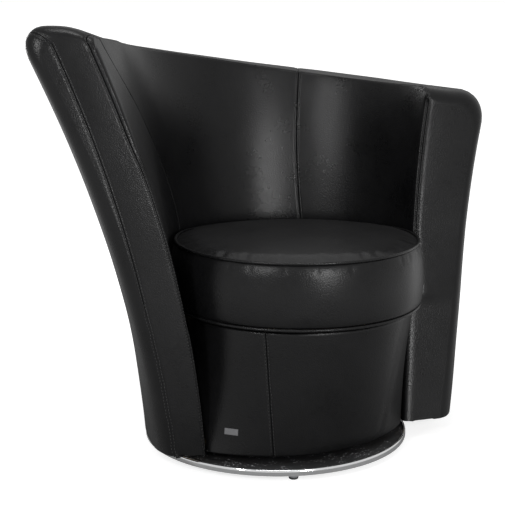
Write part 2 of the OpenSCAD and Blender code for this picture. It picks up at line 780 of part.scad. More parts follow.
module inner_cover(from, to) {
    // Inner leather between two stations, on the same grid as the foam behind it
    list = concat([from], from_to(skinned, from + 0.001, to - 0.001), [to]);
    color(leather)
    slab([for (u = list) inside(u, 0, leather_t)], [for (u = list) inside(u, leather_t, leather_t)]);
}
module inner_cover_right() {
    inner_cover(leather_u + gap_u, back_seam_u);
}
// The high wing's inner panel is bounded by a round seam that sweeps back and down to the seat
wing_seam_r = 405;
wing_seam_y = -308;
wing_seam_z = 500;
module wing_seam_cutter() {
    translate([seat_x, wing_seam_y, wing_seam_z])
        rotate([0, -90, 0]) cylinder(h = 2 * wing_seam_r, r = wing_seam_r, $fn = 180);
}
module inner_cover_left() {
    difference() {
        inner_cover(back_seam_u, 1 - leather_u - gap_u);
        wing_seam_cutter();
    }
}
module inner_wing_cover() {
    intersection() {
        inner_cover(back_seam_u, 1 - leather_u - gap_u);
        wing_seam_cutter();
    }
}
// The wing's inner side under the seat, in front of the apron's end
lower_from_u = 0.87;
function low_chain(u, p) = [for (z = [board_top + seat_gap, mix(hem_z, low_top_z, 1 / 3),
    mix(hem_z, low_top_z, 2 / 3), low_top_z, pocket_z]) wall(u, p, z)];
module inner_wing_lower() {
    list = concat(from_to(skinned, lower_from_u, 1 - edge_u / 2), [1 - leather_u - gap_u]);
    color(leather)
    slab([for (u = list) low_chain(u, 0)], [for (u = list) low_chain(u, leather_t)]);
}
module high_wing_front_cover() {
    color(leather) front_block(1 - leather_u, 1, 0, foam_p, hem_z);
}
module low_wing_front_cover() {
    color(leather) front_block(0, leather_u, 0, foam_p, hem_z);
}
module outer_cover(from, to) {
    list = concat([from], from_to(outer_stations, from + 0.001, to - 0.001), [to]);
    color(leather)
    slab([for (u = list) over(u, leather_t, 0, hem_z)], [for (u = list) over(u, 0, 0, hem_z)]);
}
module outer_cover_right() {
    outer_cover(0, back_seam_u);
}
module outer_cover_left() {
    outer_cover(back_seam_u, 1);
}

// Seat cushion, turned about the seat centre

band_points = 8;
foam_low_z = base_cloth_z + leather_t;
piping_room = 3;
// Profile of the side band at depth d: drawn in at both pipings and swollen between them
function band_profile(d) = [for (k = [0:band_points])
    let (f = k / band_points, z = mix(seat_low_z, seat_top, f), r = mix(seat_low_r, seat_r, f))
    [r + band_swell * sin(180 * f) - d, z]];
// Profile of the crowned top at depth d
function crown_profile(d) = [for (k = [0:band_points])
    let (f = k / band_points, r = mix(seat_r - piping_r - seat_gap, 0, f))
    [r, seat_top + seat_crown * (1 - pow(1 - f, 2)) - d]];
module turned_seat(outline) {
    translate([seat_x, 0, 0]) rotate_extrude($fn = 128) polygon(outline);
}
band_low = seat_low_z + piping_r + seat_gap;
band_high = seat_top - piping_r - seat_gap;
// Least height between the band's ends and its next rows
band_step = 1;
function between(list, low, high) = [for (q = list) if (q[1] > low && q[1] < high) q];
function band_at(z, d) = let (f = (z - seat_low_z) / (seat_top - seat_low_z))
    [mix(seat_low_r, seat_r, f) + band_swell * sin(180 * f) - d, z];
function band_between(d) = concat([band_at(band_low, d)],
    between(band_profile(d), band_low + band_step, band_high - band_step), [band_at(band_high, d)]);
function reversed(list) = [for (k = [len(list) - 1:-1:0]) list[k]];
module seat_foam() {
    color(foam)
    turned_seat(concat([[0, foam_low_z], [seat_low_r - piping_r - piping_room, foam_low_z],
        [seat_low_r - piping_r - piping_room, seat_low_z + piping_r / 2]],
        band_between(leather_t), crown_profile(leather_t)));
}
module seat_band() {
    color(leather) turned_seat(concat(band_between(leather_t), reversed(band_between(0))));
}
module seat_cover_top() {
    color(leather) turned_seat(concat(crown_profile(leather_t), reversed(crown_profile(0))));
}
module seat_base_cloth() {
    color(cloth)
    translate([seat_x, 0, base_cloth_z]) cylinder(h = leather_t, r = seat_low_r - piping_r - seat_gap, $fn = 128);
}
module piping(r, z) {
    translate([seat_x, 0, z]) rotate_extrude($fn = 128) translate([r, 0]) circle(r = piping_r, $fn = 32);
}
module seat_piping_upper() {
    color(leather) piping(seat_r, seat_top);
}
module seat_piping_lower() {
    color(leather) piping(seat_low_r, seat_low_z);
}

base_plate();
rim_ring();
glides();
glide_screws();
lower_race();
lower_race_screws();
pivot_bolt();
jam_nut();
pivot_washer();
pivot_nut();
ball_cage();
bearing_balls();
upper_race();
upper_race_screws();
pivot_bush();
bottom_board();
dust_cover();
hoop_post(0);  // hoop_post_1
hoop_post(1);  // hoop_post_2
hoop_post(2);  // hoop_post_3
hoop_post(3);  // hoop_post_4
seat_hoop();
hoop_screws();
webbing_lengthwise();
webbing_crosswise();
apron_panel();
apron_foam();
apron_cover_left();
apron_cover_right();
tag_plate();
tag_pins();
rib(0);  // rib_1
rib(1);  // rib_2
rib(2);  // rib_3
rib(3);  // rib_4
rib(4);  // rib_5
rib(5);  // rib_6
rib(6);  // rib_7
rib(7);  // rib_8
top_rail();
inner_panel();
outer_panel();
inner_foam();
outer_foam();
high_wing_front_foam();
low_wing_front_foam();
inner_cover_left();
inner_cover_right();
inner_wing_cover();
inner_wing_lower();
high_wing_front_cover();
low_wing_front_cover();
outer_cover_left();
outer_cover_right();
seat_foam();
seat_cover_top();
seat_band();
seat_base_cloth();
seat_piping_upper();
seat_piping_lower();
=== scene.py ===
"""Leather swivel tub chair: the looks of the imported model, in metres and in the model's own frame."""
import json
import math

import bmesh
import bpy
import numpy as np
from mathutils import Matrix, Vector, noise
from mathutils.bvhtree import BVHTree
from mathutils.kdtree import KDTree


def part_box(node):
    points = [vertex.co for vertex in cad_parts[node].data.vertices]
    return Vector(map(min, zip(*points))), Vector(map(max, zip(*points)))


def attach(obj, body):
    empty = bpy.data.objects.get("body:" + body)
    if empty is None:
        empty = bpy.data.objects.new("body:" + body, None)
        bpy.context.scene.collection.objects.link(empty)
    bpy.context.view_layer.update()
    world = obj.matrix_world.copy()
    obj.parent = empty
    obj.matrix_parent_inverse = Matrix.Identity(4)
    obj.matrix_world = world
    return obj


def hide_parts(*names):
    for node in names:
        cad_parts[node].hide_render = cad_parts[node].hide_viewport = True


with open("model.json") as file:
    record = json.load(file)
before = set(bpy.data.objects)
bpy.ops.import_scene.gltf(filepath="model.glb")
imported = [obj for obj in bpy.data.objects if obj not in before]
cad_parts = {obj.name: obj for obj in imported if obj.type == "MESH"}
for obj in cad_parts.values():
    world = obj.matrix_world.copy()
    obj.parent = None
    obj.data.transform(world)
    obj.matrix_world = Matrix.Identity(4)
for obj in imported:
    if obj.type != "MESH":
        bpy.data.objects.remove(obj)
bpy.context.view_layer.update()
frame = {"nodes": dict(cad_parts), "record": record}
scene = bpy.context.scene

MM = 0.001
# Guards divisions by a length
TINY = 1e-6

# Driving dimensions, in millimetres

# Seat
SEAT_X = 45.0
SEAT_TOP = 450.0
BAND_SWELL = 9.0
SEAT_CROWN = 14.0
PIPING_R = 3.3
# Heights of the wall's parts
HEM_Z = 40.0
LOW_TOP_Z = 287.0
POCKET_Z = 308.0
APRON_TOP_Z = 304.0
# Plan of the wall: see inner_right and the functions after it
POCKET_R = 282.0
BACK_R = 283.5
UNDER_RIGHT = (235.5, 9.6, 256.0)
UNDER_LEFT_R = 250.0
UNDER_BACK_R = 255.0
LEAN_RIGHT = 107.0
LEAN_SIDE = 120.0
CURL_LEFT = 230.0
CURL_BACK = 200.0
OUT_RIGHT = (345.0, 183.0, 0.0)
OUT_LEFT = (332.0, 60.0, 160.0)
WALL_T = 118.0
WING_IN_X = (143.5, 53.4, 217.8)
WING_OUT_X = (250.0, 105.0, 202.0)
WING_OUT_Y = 200.0
WING_FRONT = 232.0
WING_TURN = 23.0
RUN_STEP = 5.0
LOW_FRONT_Y = (-53.0, 460.0, -300.0)
LOW_WING_TURN = 40.0
INNER_TO = 180 + WING_FRONT / RUN_STEP
OUTER_TO = 180 + (WING_FRONT + WING_TURN) / RUN_STEP
WALL_RUN = 1030.0
RIGHT_A = 20.0
BACK_SEAM_U = (87.0 - RIGHT_A) / (INNER_TO - RIGHT_A)
# Rim
RIM_LOW = 769.0
RIM_HIGH = 897.0
CLIMB_FROM = 40.0
RIM_SPAN = 190.0
CLIMB_STRAIGHT = 0.25
RISE = (4.0, 7.0)
LOW_FALL = 15.0
LOW_FALL_TO = 0.34
HEAD_RISE = 14.0
HEAD_FROM = 0.9
HEAD_TO = 0.985
# Dips of the rim: how deep, where along the wall, how wide
RIM_DIPS = ((4.6, 0.89, 0.07), (6.8, 0.31, 0.2))
TOP_R = (70.0, 65.0)
# Roundings of the wings' ends: outer front edges and top front edges
NOSE_LOW = 32.0
NOSE_HIGH = 60.0
NOSE_START = 3.0
NOSE_FOOT = 0.45
NOSE_GROWTH = 1.1
DROP_LOW = 34.0
DROP_HIGH = 27.0
# The seam on the high wing's inside: heights, and how far back it lies at each
WING_SEAM_Z = (300.0, 440.0, 500.0, 560.0, 620.0, 680.0, 757.0, 806.0, 850.0, 890.0)
WING_SEAM_Y = (90.0, 110.0, 105.0, 90.0, 66.0, 32.0, -84.0, -140.0, -172.0, -193.0)
SEAM_EASE = 28.0
EASE_POINTS = 9
# Apron
APRON_TOP_R = 255.0
APRON_FOOT_R = 318.0
APRON_FOOT_C = (-22.0, 70.0)
APRON_TOP_A = (200.0, 253.8, 373.2)
APRON_FOOT_A = (246.9, 272.5, 340.5)
APRON_SEAM = 0.287
# Sewing
STITCH_FROM_SEAM = 4.2
STITCH_PITCH = 7.0
STITCH_LENGTH = 5.2
STITCH_R = 0.75
STITCH_DENT = 1.0
LEATHER_T = 2.0


# The wall's surface, as the solids have it; lengths in mm, angles in degrees

def mix(a, b, f):
    return a + (b - a) * f


def poly(c, m):
    return c[0] + c[1] * m + c[2] * m * m


def above(z):
    return np.maximum(0.0, z - SEAT_TOP) * MM


def pocket(z):
    return np.clip((z - LOW_TOP_Z) / (POCKET_Z - LOW_TOP_Z), 0.0, 1.0)


def inner_right(z):
    under = poly(UNDER_RIGHT, (np.minimum(z, LOW_TOP_Z) - HEM_Z) * MM)
    return mix(under, POCKET_R + LEAN_RIGHT * above(z), pocket(z))


def inner_left(z):
    return mix(UNDER_LEFT_R, POCKET_R + LEAN_SIDE * above(z) + CURL_LEFT * above(z) ** 2, pocket(z))


def inner_back(z):
    return mix(UNDER_BACK_R, BACK_R + LEAN_SIDE * above(z) + CURL_BACK * above(z) ** 2, pocket(z))


def outer_back(z):
    return BACK_R + LEAN_SIDE * above(z) + CURL_BACK * above(z) ** 2 + WALL_T


def plan(a, right, left, back, front_x, front_y):
    """Half ellipses at the back, then the high wing's run towards the front."""
    t = np.radians(a)
    y_run = -RUN_STEP * (a - 180.0)
    x0 = SEAT_X - left
    x_run = x0 + (front_x - x0) * (y_run / front_y) ** 2
    x = np.where(a <= 180.0, SEAT_X + np.where(a < 90.0, right, left) * np.cos(t), x_run)
    y = np.where(a <= 180.0, back * np.sin(t), y_run)
    return np.stack([x, y], axis=-1)


def inner_from(z):
    return np.degrees(np.arcsin(poly(LOW_FRONT_Y, z * MM) / inner_back(z)))


def outer_from(z):
    return np.degrees(np.arcsin((poly(LOW_FRONT_Y, z * MM) + LOW_WING_TURN) / outer_back(z)))


def inner_at(u, z):
    return plan(mix(inner_from(z), INNER_TO, u), inner_right(z), inner_left(z), inner_back(z),
                -poly(WING_IN_X, z * MM), WING_FRONT)


def outer_at(u, z):
    right, left, tip = poly(OUT_RIGHT, z * MM), poly(OUT_LEFT, z * MM), -poly(WING_OUT_X, z * MM)
    return plan(mix(outer_from(z), OUTER_TO, u), right, left, outer_back(z), tip, WING_OUT_Y)


def edge_inset(s, r, start=0.0):
    """Inset of a rounding of radius r at distance s from the end, cut off start before its quarter."""
    f = np.clip((r - start - s) / r, 0.0, 1.0)
    return r * (1.0 - np.sqrt(1.0 - f * f))


def thickness(u, z):
    full = np.linalg.norm(outer_at(u, z) - inner_at(u, z), axis=-1)
    growth = np.minimum(1.0, NOSE_FOOT + NOSE_GROWTH * z * MM)
    nose = edge_inset(WALL_RUN * (1.0 - u), NOSE_HIGH, NOSE_START) * growth
    return full - edge_inset(WALL_RUN * u, NOSE_LOW) - nose


def wall(u, p, z):
    """The point of the wall at depth p from its inner surface."""
    u, p, z = np.broadcast_arrays(np.asarray(u, float), np.asarray(p, float), np.asarray(z, float))
    a = inner_at(u, z)
    b = outer_at(u, z)
    q = a + (b - a) / np.linalg.norm(b - a, axis=-1, keepdims=True) * p[..., None]
    return np.concatenate([q, z[..., None]], axis=-1)


def ease(f):
    """A smooth step from 0 to 1."""
    f = np.clip(f, 0.0, 1.0)
    return f * f * (3.0 - 2.0 * f)


def rise(u):
    """How far the top stands over the inner edge: little along the back, more in the high wing's head, and
    below that edge at the low wing."""
    return (mix(RISE[0], RISE[1], u) + HEAD_RISE * ease((u - HEAD_FROM) / (HEAD_TO - HEAD_FROM))
            - LOW_FALL * (1.0 - ease(u / LOW_FALL_TO)))


def rim_z(u):
    f = np.clip((mix(RIGHT_A, INNER_TO, u) - CLIMB_FROM) / RIM_SPAN, 0.0, 1.0)
    climb = (1.0 - CLIMB_STRAIGHT) * ease(f) + CLIMB_STRAIGHT * f
    dips = sum(deep * np.exp(-((u - at) / width) ** 2) for deep, at, width in RIM_DIPS)
    return (mix(RIM_LOW, RIM_HIGH, climb) - dips - edge_inset(WALL_RUN * u, DROP_LOW)
            - edge_inset(WALL_RUN * (1.0 - u), DROP_HIGH))


def wing_seam_u(z):
    """Where that seam crosses the inner surface at height z, as a share of the wall's run."""
    spread = np.linspace(-SEAM_EASE, SEAM_EASE, EASE_POINTS)
    y = np.mean([np.interp(z + d, WING_SEAM_Z, WING_SEAM_Y) for d in spread], axis=0)
    back = 180.0 - np.degrees(np.arcsin(np.clip(y / inner_back(z), -1.0, 1.0)))
    a = np.where(y > 0.0, back, 180.0 - y / RUN_STEP)
    return (a - inner_from(z)) / (INNER_TO - inner_from(z))


def turned(list_a, w):
    """The apron's angle at share w of its width; its seam splits the range in two even parts."""
    return np.interp(w, (0.0, APRON_SEAM, 1.0), list_a)


def apron(w, z):
    """The apron's face: from a circle at the hem to a smaller one under the seat."""
    w, z = np.broadcast_arrays(np.asarray(w, float), np.asarray(z, float))
    f = ((z - HEM_Z) / (APRON_TOP_Z - HEM_Z))[..., None]
    a = np.radians(turned(APRON_FOOT_A, w))
    b = np.radians(turned(APRON_TOP_A, w))
    foot = np.array(APRON_FOOT_C) + APRON_FOOT_R * np.stack([np.cos(a), np.sin(a)], -1)
    top = np.array((SEAT_X, 0.0)) + APRON_TOP_R * np.stack([np.cos(b), np.sin(b)], -1)
    return np.concatenate([mix(foot, top, f), z[..., None]], axis=-1)


# Profiles over the top of the wall

# The outer seam lies in the rounding over the outside, at this angle up from its start; on the high wing's
# front it comes from the strip's edge
SEAM_ANGLE = math.radians(28.0)
STRIP_W = 80.0
SEAM_TURN = 60.0
TOP_CROWN = (1.4, 3.0)
# Heights of the hem's turned-in edge, as depth behind the face and height over the hem
HEM_TURN = ((16.0, 0.8), (8.0, 0.3), (4.0, 0.0), (1.8, 0.3), (0.6, 1.2), (0.1, 2.4))
HEM_TOP = HEM_Z + 3.6


def rounding(u):
    """Start height and radius of the rounding from the outside to the top."""
    r = mix(TOP_R[0], TOP_R[1], u)
    return rim_z(u) + rise(u) - r, r


def seam_angle(u):
    """Where the seam lies in the rounding: on the strip's edge at the front, lower down behind."""
    start, r = rounding(1.0)
    front = math.acos(1.0 - (float(thickness(1.0, start)) - STRIP_W) / r)
    return mix(front, SEAM_ANGLE, ease((1.0 - u) * WALL_RUN / SEAM_TURN))


def side_profile(u, t):
    """Depth and height on the outside: t runs from the hem (0) to the seam line in the rounding (1)."""
    start, r = rounding(u)
    s = t * (start - HEM_TOP + r * seam_angle(u))
    f = np.maximum(0.0, s - (start - HEM_TOP)) / r
    z = HEM_TOP + np.minimum(s, start - HEM_TOP) + r * np.sin(f)
    return thickness(u, z) - r + r * np.cos(f), z


def top_share(u, p):
    """The share t of the top's profile at which it is p away from the inner edge."""
    start, r = rounding(u)
    return 1.0 - p / (r * (math.pi / 2 - seam_angle(u)) + thickness(u, start + r) - r)


def hem_profile(u, depth, lift):
    z = HEM_Z + lift + 0.0 * u
    return thickness(u, z) - depth, z


def top_profile(u, t):
    """Depth and height over the top: t runs from the seam in the rounding (0) to the inner edge (1)."""
    start, r = rounding(u)
    arc = r * (math.pi / 2 - seam_angle(u))
    width = thickness(u, start + r) - r
    s = t * (arc + width)
    f = seam_angle(u) + np.minimum(s, arc) / r
    across = np.clip((s - arc) / width, 0.0, 1.0)
    crown = mix(TOP_CROWN[0], TOP_CROWN[1], ease(u / LOW_FALL_TO))
    z = start + r * np.sin(f) - rise(u) * across ** crown
    over = thickness(u, start + r * np.sin(f)) - r + r * np.cos(f)
    return np.where(across > 0.0, width * (1.0 - across), over), z


# Meshes from grids of points

# Distances of the grid lines from a sewn edge; the last ones widen to the grid's own step
SEAM_LINES = (0.0, 0.35, 0.9, 1.7, 2.7, 3.5, 4.2, 4.9, 5.9, 7.4, 9.5, 12.5, 17.0)
# Both sewn ends stay within this part of the length, and the lines on a rounding this far apart at least
SEWN_PART = 2.2
LINE_GAP = 0.2
ROUND_STEPS = 14


def stations(length, step, start="seam", end="seam"):
    """Shares of a length for grid lines: close together at its sewn ends, spread by angle where an end is
    rounded with a radius, and about a step apart between them."""
    def finish(kind):
        if kind == "seam":
            return [s for s in SEAM_LINES if s < length / SEWN_PART]
        if kind == "plain":
            return [0.0]
        lines = {r * (1.0 - math.cos(math.pi / 2 * k / ROUND_STEPS))
                 for r in kind for k in range(ROUND_STEPS + 1)}
        out = [0.0]
        for s in sorted(lines):
            if s - out[-1] > LINE_GAP:
                out.append(s)
        return out
    head = finish(start)
    tail = [length - s for s in reversed(finish(end))]
    n = max(1, round((tail[0] - head[-1]) / step))
    body = [mix(head[-1], tail[0], k / n) for k in range(1, n)]
    return np.array(head + body + tail) / length


class Parts:
    """Collects grids of points into one mesh, with points that coincide merged."""

    def __init__(self):
        self.verts = []
        self.faces = []

    def add(self, grid, flip=False, closed=False):
        base = len(self.verts)
        n, m = grid.shape[:2]
        self.verts.extend(map(tuple, grid.reshape(-1, 3) * MM))
        for i in range(n if closed else n - 1):
            k = (i + 1) % n
            for j in range(m - 1):
                quad = (base + i * m + j, base + k * m + j, base + k * m + j + 1, base + i * m + j + 1)
                self.faces.append(quad[::-1] if flip else quad)
        return self

    def build(self, name, merge=0.05):
        mesh = bpy.data.meshes.new(name)
        mesh.from_pydata(self.verts, [], self.faces)
        bm = bmesh.new()
        bm.from_mesh(mesh)
        if merge:
            bmesh.ops.remove_doubles(bm, verts=bm.verts, dist=merge * MM)
            bmesh.ops.dissolve_degenerate(bm, dist=merge * MM, edges=bm.edges)
        bm.to_mesh(mesh)
        bm.free()
        mesh.update()
        mesh.shade_smooth()
        obj = bpy.data.objects.new(name, mesh)
        scene.collection.objects.link(obj)
        return obj


def vectors(items, name):
    out = np.zeros(len(items) * 3)
    items.foreach_get(name, out)
    return out.reshape(-1, 3)


def points_of(mesh):
    return vectors(mesh.vertices, "co") / MM


def move_to(mesh, points):
    mesh.vertices.foreach_set("co", (points * MM).ravel())
    mesh.update()


def place(obj, body, slot, mat, *nodes, padded=None):
    """Gives a piece its material, hangs it on its body and hides the nodes that it stands for."""
    obj.data.materials.clear()
    obj.data.materials.append(mat)
    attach(obj, body)
    if nodes:
        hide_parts(*nodes)


def leather_sheet(obj):
    shell = obj.modifiers.new("thickness", "SOLIDIFY")
    shell.thickness = LEATHER_T * MM
    shell.offset = -1.0


def round_grid(turn, r, z, centre=(0.0, 0.0)):
    """Points at the angles turn round a centre; radius and height vary along the other direction."""
    x, y = (c + way(turn)[:, None] * r for c, way in zip(centre, (np.cos, np.sin)))
    return np.stack(np.broadcast_arrays(x, y, z), -1)


def full_turn(sides):
    return np.linspace(0.0, 2.0 * np.pi, sides, endpoint=False)


def turned_grid(profile, centre=(0.0, 0.0), sides=160):
    """Points of a round form turned from radii and heights; the profile goes outwards at the bottom."""
    return round_grid(full_turn(sides), *np.array(profile).T, centre)


def lathe(name, profile, sides=160):
    return Parts().add(turned_grid(profile, sides=sides), closed=True).build(name)


# How far the noise's place moves from one seed to the next
SEED_STEPS = (3.7, 1.3, 7.1)


def waves(points, size, seed):
    """Smooth noise of the given wavelength at the given points, between about -1 and 1."""
    off = Vector([seed * step for step in SEED_STEPS])
    return np.array([noise.noise(Vector(p) / size + off) for p in points])


# Sewing

# Leather beside a seam: width of the dents under the stitches, reach of the puckers, where they start, size
# of a pucker and its height; then how far off the leather has risen in full, and the size of its waves
DENT_W = 1.1
PULL_REACH = 16.0
PULL_FROM = 5.0
PUCKER_SIZE = 18.0
PUCKER_H = 0.5
PUCKER_SEED = 5
RISE_REACH = 25.0
WAVE_SIZE = 140.0
STITCH_SIDES = 5
# Rings of a stitch: place along it, share of its thickness, and height over the leather in thicknesses
STITCH_SHAPE = ((-0.5, 0.4, -1.3), (-0.34, 0.9, -0.15), (0.0, 1.0, 0.1), (0.34, 0.9, -0.15), (0.5, 0.4, -1.3))


class Seam:
    """A sewn line on the leather. The panels roll down to it by depth over width, and rows says on which
    sides of it stitches run. Where two panels meet at a corner, lean is the way that both face there."""

    def __init__(self, line, depth=3.0, width=4.2, rows=(-1, 1), lean=None):
        run = np.concatenate([[0.0], np.cumsum(np.linalg.norm(np.diff(line, axis=0), axis=1))])
        self.drawn = run
        self.length = run[-1]
        self.run = np.linspace(0.0, run[-1], max(2, round(run[-1])))
        self.line = self.spread(line, run)
        self.lean = None if lean is None else self.spread(lean, run)
        self.depth = depth
        self.width = width
        self.rows = rows
        self.tree = KDTree(len(self.line))
        for k, p in enumerate(self.line):
            self.tree.insert(p, k)
        self.tree.balance()

    def spread(self, values, run):
        return np.stack([np.interp(self.run, run, values[:, k]) for k in range(3)], -1)

    def nearest(self, points):
        """Distance of points from the line, and the number of the line's nearest point to each."""
        out = np.empty(len(points))
        number = np.empty(len(points), int)
        for k, p in enumerate(points):
            _, i, _ = self.tree.find(p)
            number[k] = i
            a, b = self.line[max(i - 1, 0)], self.line[min(i + 1, len(self.line) - 1)]
            along = b - a
            f = np.clip((p - a) @ along / (along @ along), 0.0, 1.0)
            out[k] = np.linalg.norm(p - a - f * along)
        return out, number

    def at(self, s):
        return np.array([np.interp(s, self.run, self.line[:, k]) for k in range(3)])

    def sew(self, thread, surface):
        """Lays its rows of stitches on a surface; both ends of a stitch dive into the leather."""
        turn = full_turn(STITCH_SIDES)
        count = int(self.length / STITCH_PITCH)
        for k in range(count):
            s = (k + 0.5) * self.length / count
            ends = self.at(s - STITCH_LENGTH / 2), self.at(s + STITCH_LENGTH / 2)
            _, normal, _, _ = surface.find_nearest(Vector(self.at(s)))
            across = np.cross(normal, ends[1] - ends[0])
            across /= np.linalg.norm(across)
            for row in self.rows:
                hits = [surface.find_nearest(Vector(e + across * row * STITCH_FROM_SEAM)) for e in ends]
                a, b = np.array(hits[0][0]), np.array(hits[1][0])
                up = np.array(hits[0][1] + hits[1][1])
                along = b - a
                side = np.cross(along, up)
                if np.linalg.norm(side) < TINY or np.linalg.norm(along) > 2 * STITCH_LENGTH:
                    continue
                side /= np.linalg.norm(side)
                up = np.cross(side, along)
                up /= np.linalg.norm(up)
                rings = [(a + b) / 2 + along * f + up * sink * STITCH_R
                         + STITCH_R * r * (np.outer(np.cos(turn), side) + np.outer(np.sin(turn), up))
                         for f, r, sink in STITCH_SHAPE]
                thread.add(np.array(rings).swapaxes(0, 1), closed=True)


def rolled(d, depth, width):
    """How far a padded edge has rolled down at distance d from its seam."""
    f = np.clip(1.0 - d / width, 0.0, 1.0)
    return depth * (1.0 - np.sqrt(1.0 - f * f))


def upholster(obj, seams, puff=1.0, wave=0.9, seed=1, folds=(), soft=()):
    """Shapes a panel of leather over its foam: it rolls down to its seams, dents along the stitches, rises
    a little between them, waves, puckers beside the seams, sinks along folds and rounds off soft edges."""
    at = points_of(obj.data)
    start = at
    for edge in soft:
        start = edge.rounded(start)
    move_to(obj.data, start)
    out = vectors(obj.data.vertex_normals, "vector")
    drop = np.zeros(len(at))
    dent = np.zeros(len(at))
    near = np.full(len(at), np.inf)
    for seam in seams:
        d, number = seam.nearest(at)
        if seam.lean is not None:
            out = mix(out, seam.lean[number], np.clip(1.0 - d / seam.width, 0.0, 1.0)[:, None])
        drop = np.maximum(drop, rolled(d, seam.depth, seam.width))
        if seam.rows:
            dent = np.maximum(dent, STITCH_DENT * np.exp(-((d - STITCH_FROM_SEAM) / DENT_W) ** 2))
        near = np.minimum(near, d)
    for line, depth, width in folds:
        drop += depth * np.exp(-(line.nearest(at)[0] / width) ** 2)
    calm = 1.0 - np.exp(-near / RISE_REACH)
    pull = np.exp(-near / PULL_REACH) * np.clip(near / PULL_FROM, 0.0, 1.0)
    drop += (dent - puff * calm - wave * waves(at, WAVE_SIZE, seed) * calm
             + PUCKER_H * waves(at, PUCKER_SIZE, seed + PUCKER_SEED) * pull)
    move_to(obj.data, start - out / np.linalg.norm(out, axis=1, keepdims=True) * drop[:, None])


# Materials. Textures are scaled in features per metre, and bumps are in metres

WHITE = (1.0, 1.0, 1.0, 1.0)


class Shader:
    """The node tree of a material or of the world, with short calls for what it needs."""

    def __init__(self, owner, output="OutputMaterial"):
        owner.use_nodes = True
        self.tree = owner.node_tree
        self.tree.nodes.clear()
        self.end = self.add(output).inputs["Surface"]

    def feed(self, socket, value):
        """Links an output to a socket, or sets a plain value on it."""
        if isinstance(value, bpy.types.NodeSocket):
            self.tree.links.new(value, socket)
        else:
            socket.default_value = value

    def add(self, kind, *values, **named):
        """A new node. Values go to its inputs in their order. A name with a capital is an input, with _ for a
        space; any other name is a setting of the node, and comes first."""
        node = self.tree.nodes.new("ShaderNode" + kind)
        for socket, value in zip(node.inputs, values):
            self.feed(socket, value)
        for name, value in named.items():
            if name[0].isupper():
                self.feed(node.inputs[name.replace("_", " ")], value)
            else:
                setattr(node, name, value)
        return node

    def math(self, kind, *values):
        return self.add("Math", *values, operation=kind).outputs[0]

    def between(self, value, low, high, to_low=0.0, to_high=1.0):
        """The value, held between low and high and spread over the range from to_low to to_high."""
        return self.add("MapRange", value, low, high, to_low, to_high).outputs["Result"]


class Finish(Shader):
    """The material of one surface, with its textures in the object's own space."""

    def __init__(self, name):
        self.material = bpy.data.materials.new(name)
        super().__init__(self.material)
        self.surface = self.add("BsdfPrincipled")
        self.feed(self.end, self.surface.outputs[0])
        self.at = self.add("TexCoord").outputs["Object"]

    def noise(self, scale, detail=3.0, rough=0.5):
        node = self.add("TexNoise", Vector=self.at, Scale=scale, Detail=detail, Roughness=rough)
        return node.outputs["Fac"]

    def ramp(self, factor, *stops):
        """Tones between two stops, each with its place and a grey level or a colour."""
        node = self.add("ValToRGB", Fac=factor)
        for element, (place, tone) in zip(node.color_ramp.elements, stops):
            element.position = place
            element.color = (*tone, 1.0) if isinstance(tone, tuple) else (tone, tone, tone, 1.0)
        return node.outputs["Color"]

    def bump(self, height, strength, distance):
        return self.add("Bump", Height=height, Strength=strength, Distance=distance).outputs["Normal"]

    def look(self, **named):
        """Feeds inputs of the surface and gives the finished material."""
        for name, value in named.items():
            self.feed(self.surface.inputs[name.replace("_", " ")], value)
        return self.material


def leather_material(name, dark, light, rough_low, rough_high):
    """Fine pebbled leather: cells with dark creases, worn a little glossier in patches."""
    f = Finish(name)
    stray = f.add("TexNoise", Vector=f.at, Scale=260.0).outputs["Color"]
    stray = f.add("VectorMath", stray, operation="SCALE", Scale=0.0012).outputs[0]
    bent = f.add("VectorMath", f.at, stray, operation="ADD").outputs[0]
    cells = f.add("TexVoronoi", feature="SMOOTH_F1", Vector=bent, Scale=400.0, Smoothness=0.35)
    pores = f.math("MULTIPLY", f.noise(1500.0, detail=2.0), 0.25)
    patches = f.math("MULTIPLY", f.noise(9.0, detail=4.0, rough=0.6), 0.7)
    tint = f.math("ADD", patches, f.math("MULTIPLY", f.noise(90.0), 0.3))
    # Seen along the surface, the pebbles' sides scatter the sheen
    glance = f.between(f.add("LayerWeight", Blend=0.5).outputs["Facing"], 0.6, 1.0, to_high=0.4)
    worn = f.between(tint, 0.3, 0.7, rough_low, rough_high)
    height = f.math("SUBTRACT", pores, cells.outputs["Distance"])
    return f.look(Base_Color=f.ramp(tint, (0.3, dark), (0.7, light)), Roughness=f.math("ADD", worn, glance),
                  Normal=f.bump(height, strength=0.35, distance=0.0007), Specular_IOR_Level=0.17)


def thread_material():
    """Twisted sewing thread."""
    f = Finish("black_thread")
    twist = f.add("TexWave", bands_direction="DIAGONAL", Vector=f.at, Scale=900.0).outputs["Fac"]
    return f.look(Base_Color=f.ramp(twist, (0.2, 0.01), (0.8, 0.025)), Roughness=0.5, Specular_IOR_Level=0.3,
                  Normal=f.bump(twist, strength=0.4, distance=0.0002))


def metal_material(name, colour, rough, scratch):
    """Polished or satin metal with faint wear."""
    f = Finish(name)
    smear = f.noise(14.0, detail=5.0, rough=0.6)
    dull = tuple(c * 0.9 for c in colour)
    return f.look(Base_Color=f.ramp(smear, (0.3, dull), (0.7, colour)), Metallic=1.0,
                  Roughness=f.between(smear, 0.3, 0.7, rough, rough + scratch),
                  Normal=f.bump(f.noise(420.0, detail=2.0), strength=0.12, distance=0.0001))


